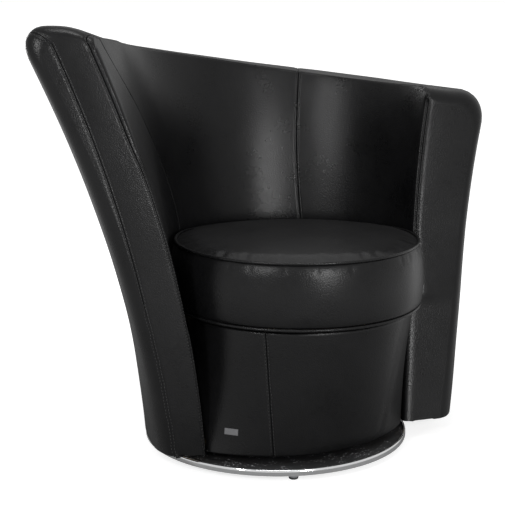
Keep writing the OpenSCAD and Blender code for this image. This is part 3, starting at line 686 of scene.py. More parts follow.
def coat_material(name):
    """Black textured powder coat with pale specks."""
    f = Finish(name)
    specks = f.between(f.add("TexVoronoi", Vector=f.at, Scale=170.0).outputs["Distance"], 0.34, 0.16)
    clumps = f.between(f.noise(34.0, detail=4.0, rough=0.7), 0.48, 0.6)
    mask = f.math("MULTIPLY", specks, clumps)
    orange_peel = f.noise(420.0)
    return f.look(Base_Color=f.ramp(mask, (0.0, (0.006, 0.006, 0.0065)), (1.0, (0.3, 0.3, 0.31))),
                  Roughness=f.between(orange_peel, 0.3, 0.7, 0.32, 0.5),
                  Normal=f.bump(orange_peel, strength=0.35, distance=0.0004))


def plain_material(name, dark, light, scale, rough, bump, stretch=(1, 1, 1)):
    """Wood, board, cloth, foam or plastic: two tones of stretched noise with a matching bump."""
    f = Finish(name)
    f.at = f.add("Mapping", Vector=f.at, Scale=stretch).outputs["Vector"]
    grain = f.noise(scale, detail=6.0, rough=0.6)
    return f.look(Base_Color=f.ramp(grain, (0.3, dark), (0.7, light)),
                  Roughness=f.between(grain, 0.3, 0.7, rough, rough - 0.12),
                  Normal=f.bump(grain, bump, distance=0.0004))


LEATHER = leather_material("black_leather", (0.0022, 0.0022, 0.0024), (0.0055, 0.0055, 0.0058), 0.25, 0.33)
# The piping's leather is the chair's black leather painted a little lighter, a painted highlight along its
# round cords; it is a little glossier as well.
PIPING_PAINTED_HIGHLIGHT = leather_material("piping_leather_painted_highlight", (0.003, 0.003, 0.0032), (0.007, 0.007, 0.0073), 0.22, 0.3)
THREAD = thread_material()
CHROME = metal_material("polished_steel", (0.62, 0.625, 0.63), 0.07, 0.08)
STEEL = metal_material("zinc_steel", (0.62, 0.63, 0.65), 0.25, 0.15)
GROUND = metal_material("bearing_steel", (0.5, 0.5, 0.52), 0.18, 0.12)
SATIN = metal_material("satin_tag", (0.16, 0.16, 0.165), 0.3, 0.1)
COAT = coat_material("black_coat")
PLYWOOD = plain_material("birch_plywood", (0.52, 0.36, 0.2), (0.76, 0.6, 0.4), 26.0, 0.62, 0.25, (1, 1, 9))
BOARD = plain_material("bending_board", (0.3, 0.2, 0.12), (0.46, 0.33, 0.21), 40.0, 0.7, 0.25)
FOAM = plain_material("cut_foam", (0.7, 0.66, 0.46), (0.86, 0.83, 0.64), 300.0, 0.9, 0.5)
CLOTH = plain_material("dust_cloth", (0.012, 0.012, 0.013), (0.03, 0.03, 0.032), 700.0, 0.92, 0.5)
WEB = plain_material("webbing", (0.16, 0.13, 0.09), (0.36, 0.3, 0.22), 180.0, 0.85, 0.6, (1, 6, 1))
NYLON = plain_material("nylon", (0.68, 0.66, 0.56), (0.8, 0.78, 0.7), 60.0, 0.5, 0.1)
RUBBER = plain_material("glide_pad", (0.018, 0.018, 0.019), (0.04, 0.04, 0.042), 240.0, 0.7, 0.3)

NODE_MATERIALS = {
    "black_metal": COAT, "polished_steel": CHROME, "bearing_steel": GROUND, "zinc_steel": STEEL,
    "glide_plastic": RUBBER, "bearing_plastic": NYLON, "plywood": PLYWOOD, "hardboard": BOARD,
    "dust_cloth": CLOTH, "webbing": WEB, "foam": FOAM, "leather": LEATHER, "tag_metal": SATIN}
for part in frame["record"]["subparts"]:
    node = frame["nodes"][part["node"]]
    node.data.materials.clear()
    node.data.materials.append(NODE_MATERIALS[part["material_slot"]])

# Wall

# Rough lengths of the panels, which set the number of their grid lines, and the steps between these
INSIDE_RUN = 500.0
SIDE_RUN = 720.0
TOP_RUN = 90.0
RIGHT_RUN = 330.0
LEFT_RUN = 480.0
WING_RUN = 200.0
FACE_RUN = 112.0
BESIDE_STRIP = 40.0
ROW_STEP = 13.0
U_STEP = 11.0
TOP_STEP = 8.0
FACE_STEP = 9.0
LIP_STEP = 2.0
# Points along a seam and along a hidden block, rows of the board, and the angles of a rounding's points
LINE_POINTS = 240
BLOCK_POINTS = 90
BOARD_ROWS = 14
QUARTER = np.radians(np.linspace(0.0, 90.0, 9))
# Rounds that find where a border meets the rim
FIND_ROUNDS = 20
# How far the low wing's leather turns in under the seat, its grid lines there, and the faces' top corner
TURN_IN = 60.0
TURN_LINES = 26
TURN_LIP_LINES = 5
CORNER = 16.0
CORNER_EASE = 0.8
# The inner leather's reach round the wings' inner edges, and over which heights it grows on the high wing
LIP = 11.0
LIP_LOW = 2.0
LOW_LIP = 3.0
LIP_FROM = 580.0
LIP_TO = 720.0
LIP_RUN = 38.0
# Roundings at the wings' ends, for the grid lines
LOW_END = (NOSE_LOW, DROP_LOW)
HIGH_END = (NOSE_HIGH, DROP_HIGH)
# Where on the wall the low strip of inner leather under the seat starts
LOWER_FROM_U = 0.87
# The frame's ends, and depths of the board's faces and of the rail behind the inside and under the top
FRAME_FROM_U = 0.03
BOARD_P = (27.3, 31.3)
RAIL_P = 31.6
RAIL_DEEP = 8.6
FRAME_DEEP = 14.0
RAIL_H = 70.0
# Reach of the roundings at the wings' inner edges
LOW_FOOT_REACH = 26.0
LOW_REACH = 18.0
HIGH_REACH = 11.0


def fixed(u):
    return lambda z: u


def inside_grid(u_low, u_high, length):
    """The wall's inner surface from under the seat to the rim; its borders are functions of height."""
    t = stations(INSIDE_RUN, ROW_STEP, "plain", "seam")
    lines = stations(length, U_STEP)
    rows = []
    for share in t:
        z0 = z1 = mix(POCKET_Z, RIM_HIGH, share)
        for _ in range(FIND_ROUNDS):
            z0, z1 = mix(POCKET_Z, rim_z(u_low(z0)), share), mix(POCKET_Z, rim_z(u_high(z1)), share)
        u = mix(u_low(z0), u_high(z1), lines)
        rows.append(wall(u, 0.0, mix(POCKET_Z, rim_z(u), share)))
    return np.array(rows).swapaxes(0, 1)


def outside_lines(u, border):
    """Depth and height of the hem and the outside up to the seam line, and of the top as far as its inner
    border, for wall shares u."""
    side_t = stations(SIDE_RUN, ROW_STEP, "plain", "seam")
    u = np.asarray(u, float)[:, None]
    top_t = stations(TOP_RUN, TOP_STEP) * top_share(u, border)
    hem = [hem_profile(u[:, 0], depth, lift) for depth, lift in HEM_TURN]
    p, z = side_profile(u, side_t)
    p = np.concatenate([np.stack([q[0] for q in hem], -1), p], 1)
    z = np.concatenate([np.stack([q[1] for q in hem], -1), z], 1)
    return (p, z), top_profile(u, top_t)


def high_lip(z):
    return mix(LIP_LOW, LIP, ease((z - LIP_FROM) / (LIP_TO - LIP_FROM)))


def low_lip(z):
    return LOW_LIP + 0.0 * z


# How far the inner leather reaches round onto a wing's front face, by the wing's end of the wall
LIPS = {0.0: low_lip, 1.0: high_lip}


def lip_on_top(u):
    """The same on the top of the wall, where it fades out behind each wing's end."""
    return (LIP * (1.0 - ease((1.0 - u) * WALL_RUN / LIP_RUN))
            + LOW_LIP * (1.0 - ease(u * WALL_RUN / LIP_RUN)))


def behind(end, run):
    """The wall share that lies run millimetres behind a wing's end."""
    return abs(end - run / WALL_RUN)


def lip_grids(end, lines):
    """The inner leather's reach round a wing's inner edge: on the front face, and on the top. The lines are
    the wall shares of the inner surface's grid, from the wing's end inwards."""
    share = stations(LIP, LIP_STEP, "plain", "plain")[:, None]
    tops = top_profile(end, top_share(end, share * lip_on_top(end)))[1]
    heights = mix(POCKET_Z, tops, stations(INSIDE_RUN, ROW_STEP, "plain", "seam"))
    face = wall(end, share * LIPS[end](heights), heights)
    near = lines[np.abs(lines - end) < LIP_RUN / WALL_RUN][:, None]
    return face, wall(near, *top_profile(near, top_share(near, share[:, 0] * lip_on_top(near))))


def lip_line(end, foot):
    """The seam beside a wing's inner edge: from its foot up the front face, then back along the top to the
    rim's own seam."""
    top = top_profile(end, top_share(end, lip_on_top(end)))[1]
    heights = np.linspace(foot, top, LINE_POINTS)
    u = mix(end, behind(end, LIP_RUN), np.linspace(0.0, 1.0, LINE_POINTS))
    over = wall(u, *top_profile(u, top_share(u, lip_on_top(u))))
    return np.concatenate([wall(end, LIPS[end](heights), heights), over[1:]])


def front_rows(end):
    """Rows of a wing's front face: depth and height at the outer edge, then at the inner edge's seam."""
    (p, z), (top_p, top_z) = outside_lines([end], lip_on_top(end))
    p, z, top_p, top_z = p[0], z[0], top_p[0], top_z[0]
    inner_top = min(z[-1], top_z[-1] - CORNER)
    inner = HEM_Z + (z - HEM_Z) * (inner_top - HEM_Z) / (z[-1] - HEM_Z)
    top_inner = mix(inner_top, top_z[-1], np.linspace(0.0, 1.0, len(top_z)) ** CORNER_EASE)
    return (p, z, LIPS[end](inner), inner), (top_p, top_z, LIPS[end](top_inner), top_inner)


def front_grid(end, rows, shares):
    """Points of the front face at shares of the way from the inner border, which rows may set apart."""
    p, z, near, inner = rows
    shares = np.broadcast_to(shares, (len(shares), len(p)))
    return wall(end, mix(near, p, shares), mix(inner, z, shares))


def rim_lean(u):
    """Half way between up and the way that the wall's inner surface faces at the rim."""
    z = rim_z(u)
    step = 1.0 / WALL_RUN
    facing = np.cross(wall(u, 0.0, z + 1.0) - wall(u, 0.0, z), wall(u + step, 0.0, z) - wall(u, 0.0, z))
    return facing / np.linalg.norm(facing, axis=-1, keepdims=True) + (0.0, 0.0, 1.0)


class Edge:
    """A wing's inner edge, which its leather rounds on both sides, further at the foot."""

    def __init__(self, end, foot_reach, reach):
        z = np.linspace(HEM_Z, rim_z(end), LINE_POINTS)
        at = wall(end, 0.0, z)
        self.line = Seam(at)
        reaches = np.repeat(mix(foot_reach, reach, pocket(z))[:, None], 3, 1)
        self.reach = self.line.spread(reaches, self.line.drawn)[:, 0]
        self.inward = self.line.spread(wall(behind(end, 1.0), 0.0, z) - at, self.line.drawn)
        self.across = self.line.spread(wall(end, 1.0, z) - at, self.line.drawn)

    def rounded(self, points):
        """Points moved onto a curve that leaves both faces smoothly."""
        d, number = self.line.nearest(points)
        reach = self.reach[number]
        edge = self.line.line[number]
        offset = points - edge
        inward, across = self.inward[number], self.across[number]
        inside = np.sum(offset * inward, -1) > np.sum(offset * across, -1)
        share = (1.0 - d / reach) / 2.0
        one = np.where(inside[:, None], inward, across)
        other = np.where(inside[:, None], across, inward)
        move = (reach * (1.0 - share) ** 2 - d)[:, None] * one + (reach * share ** 2)[:, None] * other
        return points + np.where((d < reach)[:, None], move, 0.0)


# Seams of the inner leather
along = mix(behind(0.0, LIP_RUN), behind(1.0, LIP_RUN), np.linspace(0.0, 1.0, LINE_POINTS))
rim_seam = Seam(wall(along, 0.0, rim_z(along)), depth=3.0, width=5.0, rows=(), lean=rim_lean(along))
in_heights = np.linspace(POCKET_Z, rim_z(BACK_SEAM_U), LINE_POINTS)
back_in_seam = Seam(wall(BACK_SEAM_U, 0.0, in_heights))
low_soft = (Edge(0.0, LOW_FOOT_REACH, LOW_REACH),)
high_soft = (Edge(1.0, HIGH_REACH, HIGH_REACH),)
low_seam = Seam(lip_line(0.0, POCKET_Z), depth=3.0, width=6.0)
high_seam = Seam(lip_line(1.0, HEM_Z), depth=2.6, width=6.0)
wing_top = POCKET_Z
for _ in range(FIND_ROUNDS):
    wing_top = rim_z(wing_seam_u(wing_top))
wing_heights = np.linspace(POCKET_Z, wing_top, LINE_POINTS)
wing_seam = Seam(wall(wing_seam_u(wing_heights), 0.0, wing_heights), depth=1.8, width=3.5, rows=())

# Inner panels
low_face, low_top = lip_grids(0.0, BACK_SEAM_U * stations(RIGHT_RUN, U_STEP))
inner_right_panel = (
    Parts().add(inside_grid(fixed(0.0), fixed(BACK_SEAM_U), RIGHT_RUN), flip=True)
    .add(low_face)
    .add(low_top, flip=True)
    .build("inner_panel_right", merge=0.3))
inner_left_panel = (
    Parts().add(inside_grid(fixed(BACK_SEAM_U), wing_seam_u, LEFT_RUN), flip=True)
    .build("inner_panel_left"))
high_face, high_top = lip_grids(1.0, mix(wing_seam_u(wing_top), 1.0, stations(WING_RUN, U_STEP))[::-1])
inner_wing_panel = (
    Parts().add(inside_grid(wing_seam_u, fixed(1.0), WING_RUN), flip=True)
    .add(high_face, flip=True)
    .add(high_top)
    .build("inner_wing_panel", merge=0.3))
lower_t = stations((1.0 - LOWER_FROM_U) * WALL_RUN, U_STEP, "plain", "seam")
lower_u = mix(LOWER_FROM_U, 1.0, lower_t)[:, None]
lower_z = mix(HEM_Z, POCKET_Z, stations(POCKET_Z - HEM_Z, ROW_STEP, "plain", "seam"))
lower_lip = stations(LIP, LIP_STEP, "plain", "plain")[:, None] * high_lip(lower_z)
inner_wing_lower = (
    Parts().add(wall(lower_u, 0.0, lower_z), flip=True)
    .add(wall(1.0, lower_lip, lower_z), flip=True)
    .build("inner_wing_lower_panel"))

# The right half of the outside with the low wing's front face, in one piece that turns in behind the apron
right_u = mix(0.0, BACK_SEAM_U, stations(BACK_SEAM_U * WALL_RUN, U_STEP, LOW_END, "seam"))
(side_p, side_z), (top_p, top_z) = outside_lines(right_u, lip_on_top(right_u)[:, None])
low_rows, low_top_rows = front_rows(0.0)
across = stations(FACE_RUN, FACE_STEP)[:, None]
turn_z = low_rows[3][low_rows[3] < POCKET_Z + ROW_STEP]
turn_u = np.linspace(behind(0.0, TURN_IN), 0.0, TURN_LINES)[:, None]
turn_lip = np.linspace(0.0, LOW_LIP, TURN_LIP_LINES)[1:, None]
outer_right_panel = (
    Parts().add(wall(right_u[:, None], side_p, side_z))
    .add(wall(right_u[:, None], top_p, top_z))
    .add(front_grid(0.0, low_rows, across))
    .add(front_grid(0.0, low_top_rows, across))
    .add(np.concatenate([wall(turn_u, 0.0, turn_z), wall(0.0, turn_lip, turn_z)]))
    .build("outer_panel_right"))
shares = np.linspace(0.0, 1.0, LINE_POINTS)
back_out_seam = Seam(np.concatenate([wall(BACK_SEAM_U, *side_profile(BACK_SEAM_U, shares)),
                                     wall(BACK_SEAM_U, *top_profile(BACK_SEAM_U, shares))[1:]]))

# The left half: the outside runs round the high wing's edge to the seam on its front face, and a strip goes
# up that face and back along the top
left_u = mix(1.0, BACK_SEAM_U, stations((1.0 - BACK_SEAM_U) * WALL_RUN, U_STEP, HIGH_END, "seam"))
(side_p, side_z), (top_p, top_z) = outside_lines(left_u, lip_on_top(left_u)[:, None])
high_rows, high_top_rows = front_rows(1.0)
face_p, _, near_p, _ = high_rows
bend = np.minimum(1.0, (STRIP_W - near_p) / (face_p - near_p))
across = stations(STRIP_W, FACE_STEP)[:, None]
beside = stations(BESIDE_STRIP, FACE_STEP, "seam", "plain")[:, None]
strip_panel = (
    Parts().add(front_grid(1.0, high_rows, across * bend), flip=True)
    .add(front_grid(1.0, high_top_rows, across), flip=True)
    .add(wall(left_u[:, None], top_p, top_z), flip=True)
    .build("high_wing_strip"))
outer_left_panel = (
    Parts().add(front_grid(1.0, high_rows, mix(bend, 1.0, beside)), flip=True)
    .add(wall(left_u[:, None], side_p, side_z), flip=True)
    .build("outer_panel_left"))
seam_on_face = front_grid(1.0, high_rows, bend[None, :])[0]
seam_on_top = wall(left_u, *top_profile(left_u, 0.0))
strip_seam = Seam(np.concatenate([seam_on_face, seam_on_top[1:]]), depth=2.0, width=4.5)


def hidden_block(name, ring, slot, mat, node):
    """A closed block along the wall from rings of points, with its ends filled."""
    ends = ring[:, (0, -1)].mean(0)[:, None]
    caps = [np.broadcast_to(end, (len(ring), 1, 3)) for end in ends]
    block = Parts().add(np.concatenate([caps[0], ring, caps[1]], 1), closed=True).build(name)
    place(block, "chair", slot, mat, node)


# The rail inside the top and the inner board, which end under the top's shape
frame_u = np.linspace(FRAME_FROM_U, 1.0 - FRAME_FROM_U, BLOCK_POINTS)
rail_start, rail_r = rounding(frame_u)
rail_foot = rim_z(frame_u) - RAIL_H
arc = QUARTER[:, None]
arc_z = rail_start + (rail_r - RAIL_DEEP) * np.sin(arc)
arc_p = thickness(frame_u, arc_z) - rail_r + (rail_r - RAIL_DEEP) * np.cos(arc)
frame_top = rim_z(frame_u) - FRAME_DEEP
hidden_block("rail_under_top", np.concatenate([
    [wall(frame_u, RAIL_P, rail_foot), wall(frame_u, thickness(frame_u, rail_foot) - RAIL_DEEP, rail_foot)],
    wall(frame_u, arc_p, arc_z), [wall(frame_u, RAIL_P, frame_top)]]), "plywood", PLYWOOD, "top_rail")
board_z = mix(POCKET_Z, frame_top, np.linspace(0.0, 1.0, BOARD_ROWS)[:, None])
hidden_block("inner_board", np.concatenate([
    wall(frame_u, BOARD_P[0], board_z), wall(frame_u, BOARD_P[1], board_z[::-1])]),
    "hardboard", BOARD, "inner_panel")

# Apron
APRON_RUN = 640.0
# Where its fold lies, and a small step for its direction, as shares of its width
FOLD_W = 0.775
W_STEP = 0.001
# Depths of its turned-in side edges, how far each of them reaches on sideways, and depths and heights of
# its turned-in top
APRON_TURN = (8.0, 6.5, 4.0, 1.5)
APRON_REACH = (9.0, 22.0)
TOP_TURN = ((1.2, 0.5), (4.0, 0.9), (9.0, 0.9), (16.0, 0.9))


def apron_grid(w0, w1, first, last):
    """The apron's face between two shares of its width, turned in at the hem and at the given side edges,
    which reach on behind the wings before the board."""
    w = mix(w0, w1, stations((w1 - w0) * APRON_RUN, U_STEP))
    flat = np.zeros(len(w))
    w = np.concatenate([np.full(len(first), w0), w, np.full(len(last), w1)])
    left = np.array(first)
    right = np.array(last[::-1])
    side = np.concatenate([left, flat, right])[:, None]
    hem = np.array(HEM_TURN)
    top = np.array(TOP_TURN)
    face_z = mix(HEM_TOP, APRON_TOP_Z, stations(APRON_TOP_Z - HEM_TOP, ROW_STEP, "plain", "seam"))
    heights = np.concatenate([HEM_Z + hem[:, 1], face_z, APRON_TOP_Z + top[:, 1]])
    depth = side + np.concatenate([hem[:, 0], np.zeros(len(face_z)), top[:, 0]])
    along = apron(w + W_STEP, HEM_Z) - apron(w - W_STEP, HEM_Z)
    along = along / np.linalg.norm(along, axis=-1, keepdims=True)
    inward = np.stack([-along[:, 1], along[:, 0], 0.0 * w], -1)
    reach = np.concatenate([-APRON_REACH[0] * (left / APRON_TURN[0]) ** 2, flat,
                            APRON_REACH[1] * (right / APRON_TURN[0]) ** 2])
    sideways = (along * reach[:, None])[:, None]
    return apron(w[:, None], heights) + inward[:, None] * depth[..., None] + sideways


apron_left = Parts().add(apron_grid(0.0, APRON_SEAM, APRON_TURN, ())).build("apron_panel_left")
apron_right = Parts().add(apron_grid(APRON_SEAM, 1.0, (), APRON_TURN)).build("apron_panel_right")
up = np.linspace(HEM_Z, APRON_TOP_Z, LINE_POINTS)
apron_seam = Seam(apron(APRON_SEAM, up))
apron_ends = [Seam(apron(w, up), depth=4.0, width=14.0, rows=()) for w in (0.0, 1.0)]
apron_top = Seam(apron(shares, APRON_TOP_Z), depth=3.0, width=6.0, rows=())
fold = Seam(apron(FOLD_W, up))

# Upholstery of all these panels
upholster(inner_right_panel, (rim_seam, back_in_seam, low_seam), seed=1, soft=low_soft)
upholster(inner_left_panel, (rim_seam, back_in_seam, wing_seam), seed=2)
upholster(inner_wing_panel, (rim_seam, high_seam, wing_seam), seed=3, soft=high_soft)
upholster(inner_wing_lower, (high_seam,), seed=3, soft=high_soft)
upholster(outer_right_panel, (rim_seam, back_out_seam, low_seam), puff=1.5, seed=4, soft=low_soft)
upholster(outer_left_panel, (back_out_seam, strip_seam), puff=1.5, seed=5)
upholster(strip_panel, (rim_seam, back_out_seam, strip_seam, high_seam), puff=1.5, seed=6, soft=high_soft)
upholster(apron_left, (apron_seam, apron_ends[0], apron_top), puff=0.3, wave=0.5, seed=7)
upholster(apron_right, (apron_seam, apron_ends[1], apron_top), puff=0.3, wave=0.5, seed=8,
          folds=((fold, 1.6, 7.0),))

# Each panel with the nodes that it stands for
PANELS = (
    (inner_right_panel, ("inner_cover_right", "inner_foam")),
    (inner_left_panel, ("inner_cover_left", "inner_foam")),
    (inner_wing_panel, ("inner_wing_cover",)),
    (inner_wing_lower, ("inner_wing_lower",)),
    (outer_right_panel, ("outer_cover_right", "low_wing_front_cover", "low_wing_front_foam", "outer_foam")),
    (outer_left_panel, ("outer_cover_left", "outer_foam")),
    (strip_panel, ("high_wing_front_cover", "high_wing_front_foam")),
    (apron_left, ("apron_cover_left", "apron_foam")),
    (apron_right, ("apron_cover_right", "apron_foam")))
all_verts = []
all_faces = []
for obj, nodes in PANELS:
    first = len(all_verts)
    all_verts.extend(Vector(p) for p in points_of(obj.data))
    all_faces.extend([first + i for i in face.vertices] for face in obj.data.polygons)
    leather_sheet(obj)
    place(obj, "chair", "leather", LEATHER, *nodes, padded=1.0)
surface = BVHTree.FromPolygons(all_verts, all_faces)
stitches = Parts()
for seam in (rim_seam, back_in_seam, back_out_seam, low_seam, high_seam, strip_seam, apron_seam):
    seam.sew(stitches, surface)
place(stitches.build("topstitching", merge=0.0), "chair", "leather", THREAD)

# Seat

SEAT_AT = (SEAT_X, 0.0)
SEAT_CELLS = 64
SEAT_SHRINK = 3.0
CROWN_POWER = 1.7
SEAM_DEEP = 2.5
BAND_ROWS = 18
BOTTOM_SHARES = (1.0, 0.75, 0.5, 0.25, 0.02)
# How far the cushion has sunk at the back, and where that starts and over what length
SEAT_SETTLE = 10.0
SETTLE_FROM = 20.0
SETTLE_RUN = 240.0
# Points this near to a sewn line hold still while the cushion is blown up
SEWN_WITHIN = 0.5
PIPING_TURNS = 360
PIPING_SIDES = 15


def ring_of(node):
    """Centre line radius and height of a round piping, from its solid."""
    low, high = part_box(node)
    return (high.x - low.x - high.z + low.z) / 2 / MM, (high.z + low.z) / 2 / MM


upper_r, upper_z = ring_of("seat_piping_upper")
lower_r, lower_z = ring_of("seat_piping_lower")


def settled(y):
    """How far the cushion has sunk at a place from front to back."""
    return SEAT_SETTLE * ease((y - SETTLE_FROM) / SETTLE_RUN)


def disc_points(n):
    """A square grid of points bent into a unit disc, so that its cells stay nearly square."""
    a, b = np.meshgrid(np.linspace(-1, 1, n + 1), np.linspace(-1, 1, n + 1), indexing="ij")
    wide = np.abs(a) > np.abs(b)
    r = np.where(wide, a, b)
    safe_a = np.where(a == 0, 1.0, a)
    safe_b = np.where(b == 0, 1.0, b)
    t = np.where(wide, math.pi / 4 * b / safe_a, math.pi / 2 - math.pi / 4 * a / safe_b)
    return r * np.cos(t), r * np.sin(t)


def cushion():
    """The closed cover of the round cushion: crowned top, swelling band and flat bottom."""
    x, y = disc_points(SEAT_CELLS)
    crown = (SEAT_CROWN + SEAM_DEEP - SEAT_SHRINK) * (1.0 - (x * x + y * y) ** CROWN_POWER)
    top_z = upper_z - SEAM_DEEP + crown - settled(y * upper_r)
    top = np.stack([SEAT_X + x * upper_r, y * upper_r, top_z], -1)
    turn = full_turn(4 * SEAT_CELLS) - 3 * math.pi / 4
    t = np.linspace(0.0, 1.0, BAND_ROWS)
    r = mix(upper_r, lower_r, t) + (BAND_SWELL - SEAT_SHRINK) * np.sin(math.pi * t)
    z = mix(upper_z - SEAM_DEEP - settled(np.sin(turn) * upper_r)[:, None], lower_z, t)
    return (
        Parts().add(top)
        .add(round_grid(turn, r, z, SEAT_AT), flip=True, closed=True)
        .add(round_grid(turn, lower_r * np.array(BOTTOM_SHARES), lower_z, SEAT_AT), flip=True, closed=True)
        .build("seat_cushion", merge=0.3))


def inflate(obj, sewn, pressure, cap, frames=20):
    """Blows a cover up with Blender's cloth while its sewn points hold, and keeps the result on the mesh."""
    mesh = obj.data
    start = points_of(mesh)
    group = obj.vertex_groups.new(name="sewn")
    group.add([int(k) for k in np.flatnonzero(sewn)], 1.0, "REPLACE")
    cloth = obj.modifiers.new("inflate", "CLOTH")
    cloth.settings.quality = 6
    cloth.settings.tension_stiffness = 25.0
    cloth.settings.compression_stiffness = 25.0
    cloth.settings.bending_stiffness = 1.5
    cloth.settings.vertex_group_mass = group.name
    cloth.settings.use_pressure = True
    cloth.settings.uniform_pressure_force = pressure
    cloth.settings.shrink_min = -0.012
    cloth.settings.effector_weights.gravity = 0.0
    cloth.point_cache.frame_end = frames
    for frame_number in range(1, frames + 1):
        scene.frame_set(frame_number)
    blown = obj.evaluated_get(bpy.context.evaluated_depsgraph_get())
    move = points_of(blown.to_mesh()) - start
    blown.to_mesh_clear()
    obj.modifiers.remove(cloth)
    obj.vertex_groups.remove(group)
    scene.frame_set(1)
    size = np.linalg.norm(move, axis=1, keepdims=True)
    move *= np.minimum(1.0, cap / np.maximum(size, TINY))
    move_to(mesh, start + move)
    print("inflated", obj.name, "by", round(float(size.max()), 2), "mm")


seat = cushion()
at = points_of(seat.data)
from_axis = np.hypot(at[:, 0] - SEAT_X, at[:, 1])
on_upper = (np.abs(from_axis - upper_r) < SEWN_WITHIN) & (at[:, 2] > (upper_z + lower_z) / 2)
on_bottom = at[:, 2] < lower_z + SEWN_WITHIN
inflate(seat, on_upper | on_bottom, pressure=3.0, cap=7.0)
smooth = seat.modifiers.new("smooth", "SUBSURF")
smooth.levels = smooth.render_levels = 1
place(seat, "chair", "leather", LEATHER, "seat_foam", "seat_cover_top", "seat_band", "seat_base_cloth",
      padded=0.9)


def piping(node, radius, height, sink):
    """A round cord wrapped in leather in a seam of the cushion; sink is its share of the settling."""
    turn = full_turn(PIPING_TURNS)
    f = np.linspace(0.0, 2.0 * np.pi, PIPING_SIDES)
    z = height + PIPING_R * np.sin(f) - sink * settled(np.sin(turn) * radius)[:, None]
    grid = round_grid(turn, radius + PIPING_R * np.cos(f), z, SEAT_AT)
    place(Parts().add(grid, closed=True).build(node.removeprefix("seat_")), "chair", "leather", PIPING_PAINTED_HIGHLIGHT, node)


piping("seat_piping_upper", upper_r, upper_z, sink=1.0)
piping("seat_piping_lower", lower_r, lower_z, sink=0.0)

# Base

# The plate's bevel and bolt hole, and the rim's roundings at its foot and its head, across and up
BEVEL = 1.0
HOLE_R = 8.0
RIM_GAP = 0.05
RIM_FOOT = (1.2, 1.6)
RIM_HEAD = (3.0, 6.0)
RIM_SIDES = 240
plate_low, plate_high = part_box("base_plate")
rim_low, rim_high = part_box("rim_ring")
plate_r = plate_high.x / MM
rim_r = rim_high.x / MM
z0, z1 = plate_low.z / MM, plate_high.z / MM
base_plate = lathe("plate_disc", (
    (HOLE_R, z0), (plate_r - BEVEL, z0), (plate_r, z0 + BEVEL), (plate_r, z1 - BEVEL), (plate_r - BEVEL, z1),
    (HOLE_R, z1), (HOLE_R, z0)))
place(base_plate, "base", "black_metal", COAT, "base_plate")


def rim_edge(z, reach, way):
    """A rounding on the rim's outside as radii and heights upwards; way is -1 at the foot, 1 at the head."""
    width, height = reach
    edge = [(rim_r - width + width * math.cos(a), z + height * (math.sin(a) - 1.0) * way) for a in QUARTER]
    return edge[::way]


rim_in = plate_r + RIM_GAP
z0, z1 = rim_low.z / MM, rim_high.z / MM
rim = lathe("rim_band", [(rim_in, z0), *rim_edge(z0, RIM_FOOT, -1), *rim_edge(z1, RIM_HEAD, 1), (rim_in, z1),
                         (rim_in, z0)], sides=RIM_SIDES)
place(rim, "base", "polished_steel", CHROME, "rim_ring")

# Glides: a steel cup over a dark pad
GLIDE_IN = 22.0
GLIDE_TURN = -83.0
GLIDES = 4
GLIDE_SIDES = 48
BORE_R = 3.1
CUP_R = 11.0
CUP_Z = (5.2, 12.95)
CUP_BEVELS = (0.8, 0.6)
PAD_R = 10.0
PAD_MIDDLE = 0.01
# The pad's edge from its foot up, as distances in from its side and heights
PAD_EDGE = ((2.4, 0.0), (0.9, 0.6), (0.0, 2.2), (0.0, 4.4), (0.4, 5.15))
z0, z1 = CUP_Z
low_bevel, top_bevel = CUP_BEVELS
cup = ((BORE_R, z0), (CUP_R - low_bevel, z0), (CUP_R, z0 + low_bevel), (CUP_R, z1 - top_bevel),
       (CUP_R - top_bevel, z1), (BORE_R, z1), (BORE_R, z0))
pad = [(PAD_R - inset, z) for inset, z in PAD_EDGE]
pad = [(PAD_MIDDLE, pad[0][1]), *pad, (PAD_MIDDLE, pad[-1][1])]
cups = Parts()
pads = Parts()
for k in range(GLIDES):
    a = math.radians(GLIDE_TURN + 360.0 * k / GLIDES)
    at_glide = ((rim_r - GLIDE_IN) * math.cos(a), (rim_r - GLIDE_IN) * math.sin(a))
    cups.add(turned_grid(cup, at_glide, GLIDE_SIDES), closed=True)
    pads.add(turned_grid(pad, at_glide, GLIDE_SIDES), closed=True)
place(cups.build("glide_cups"), "base", "zinc_steel", STEEL, "glides")
place(pads.build("glide_pads"), "base", "glide_plastic", RUBBER, "glides")

TAG_EDGE = 0.4
tag = frame["nodes"]["tag_plate"]
round_edges = tag.modifiers.new("edges", "BEVEL")
round_edges.width = TAG_EDGE * MM
round_edges.segments = 2

# Camera

CAMERA_AT = (-0.0506, -2.8326, 1.0202)
CAMERA_TILT = 12.03
FOCAL_PX = 1325.6
PHOTO_PX = 506.0
SENSOR_MM = 36.0
camera = bpy.data.cameras.new("camera")
camera.sensor_width = SENSOR_MM
camera.sensor_fit = "HORIZONTAL"
camera.lens = FOCAL_PX / PHOTO_PX * SENSOR_MM
view = bpy.data.objects.new("camera", camera)
view.location = CAMERA_AT
view.rotation_euler = (math.radians(90.0 - CAMERA_TILT), 0.0, 0.0)
scene.collection.objects.link(view)
scene.camera = view

# Studio

# The camera and reflections see a white world, and a softer one lights the chair from all round
SURROUND = 0.4
world = bpy.data.worlds.new("studio")
scene.world = world
w = Shader(world, "OutputWorld")
rays = w.add("LightPath").outputs
mirrored = w.math("MAXIMUM", rays["Is Glossy Ray"], rays["Is Transmission Ray"])
seen = w.math("MAXIMUM", rays["Is Camera Ray"], mirrored)
soft = w.add("Background", Color=WHITE, Strength=SURROUND).outputs[0]
white = w.add("Background", Color=WHITE, Strength=1.0).outputs[0]
w.feed(w.end, w.add("MixShader", seen, soft, white).outputs[0])

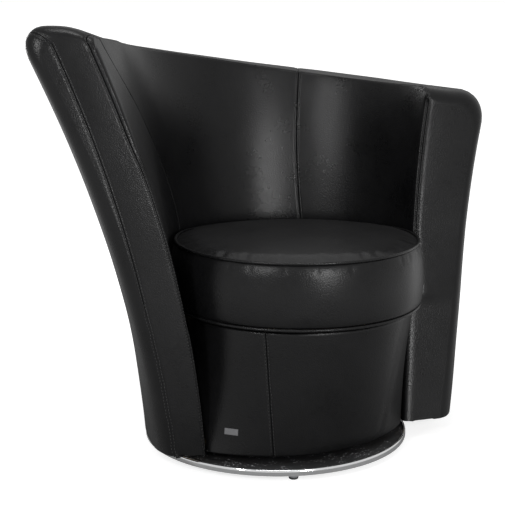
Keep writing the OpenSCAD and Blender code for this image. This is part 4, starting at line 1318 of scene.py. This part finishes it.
# The floor glows up to white away from the chair, for the camera and further out for reflections: from and to
# which distance from the swivel axis, in metres, and how much
FLOOR_HALF = 40.0
FLOOR_TONE = (0.45, 0.45, 0.45, 1.0)
GLOW = (0.35, 1.6, 0.78, 1.0)
MIRRORED_GLOW = (0.45, 2.0)
floor_look = bpy.data.materials.new("floor")
f = Shader(floor_look)
rays = f.add("LightPath").outputs
away = f.add("VectorMath", f.add("TexCoord").outputs["Object"], operation="LENGTH").outputs["Value"]
mirrored = f.math("MULTIPLY", f.between(away, *MIRRORED_GLOW), rays["Is Glossy Ray"])
seen = f.math("MAXIMUM", rays["Is Camera Ray"], mirrored)
glow = f.add("Emission", Color=WHITE, Strength=f.math("MULTIPLY", f.between(away, *GLOW), seen)).outputs[0]
matt = f.add("BsdfDiffuse", Color=FLOOR_TONE).outputs[0]
f.feed(f.end, f.add("AddShader", matt, glow).outputs[0])
corners = [(x * FLOOR_HALF, y * FLOOR_HALF, 0) for x, y in ((-1, -1), (1, -1), (1, 1), (-1, 1))]
floor_mesh = bpy.data.meshes.new("floor")
floor_mesh.from_pydata(corners, [], [(0, 1, 2, 3)])
floor_mesh.materials.append(floor_look)
floor = bpy.data.objects.new("floor", floor_mesh)
scene.collection.objects.link(floor)

# Lamps: place, the point that each one faces, width and height in metres, and power in watts
CHAIR_MIDDLE = (0.0, 0.0, 0.5)
LAMPS = {
    "front_right": ((1.15, -2.5, 1.1), CHAIR_MIDDLE, (0.3, 0.7), 38.0),
    "front_left": ((-1.5, -2.5, 1.7), CHAIR_MIDDLE, (0.35, 0.4), 30.0),
    "back_left": ((-1.9, 2.2, 1.1), (-0.3, 0.0, 0.5), (0.4, 1.2), 34.0),
    "top": ((0.0, -0.6, 2.9), CHAIR_MIDDLE, (0.9, 0.5), 22.0)}
for name, (lamp_at, facing, size, power) in LAMPS.items():
    lamp = bpy.data.lights.new(name, "AREA")
    lamp.shape = "RECTANGLE"
    lamp.size, lamp.size_y = size
    lamp.energy = power
    softbox = bpy.data.objects.new(name, lamp)
    softbox.location = lamp_at
    softbox.rotation_euler = (Vector(facing) - Vector(lamp_at)).to_track_quat("-Z", "Y").to_euler()
    scene.collection.objects.link(softbox)

scene.view_settings.view_transform = "Standard"
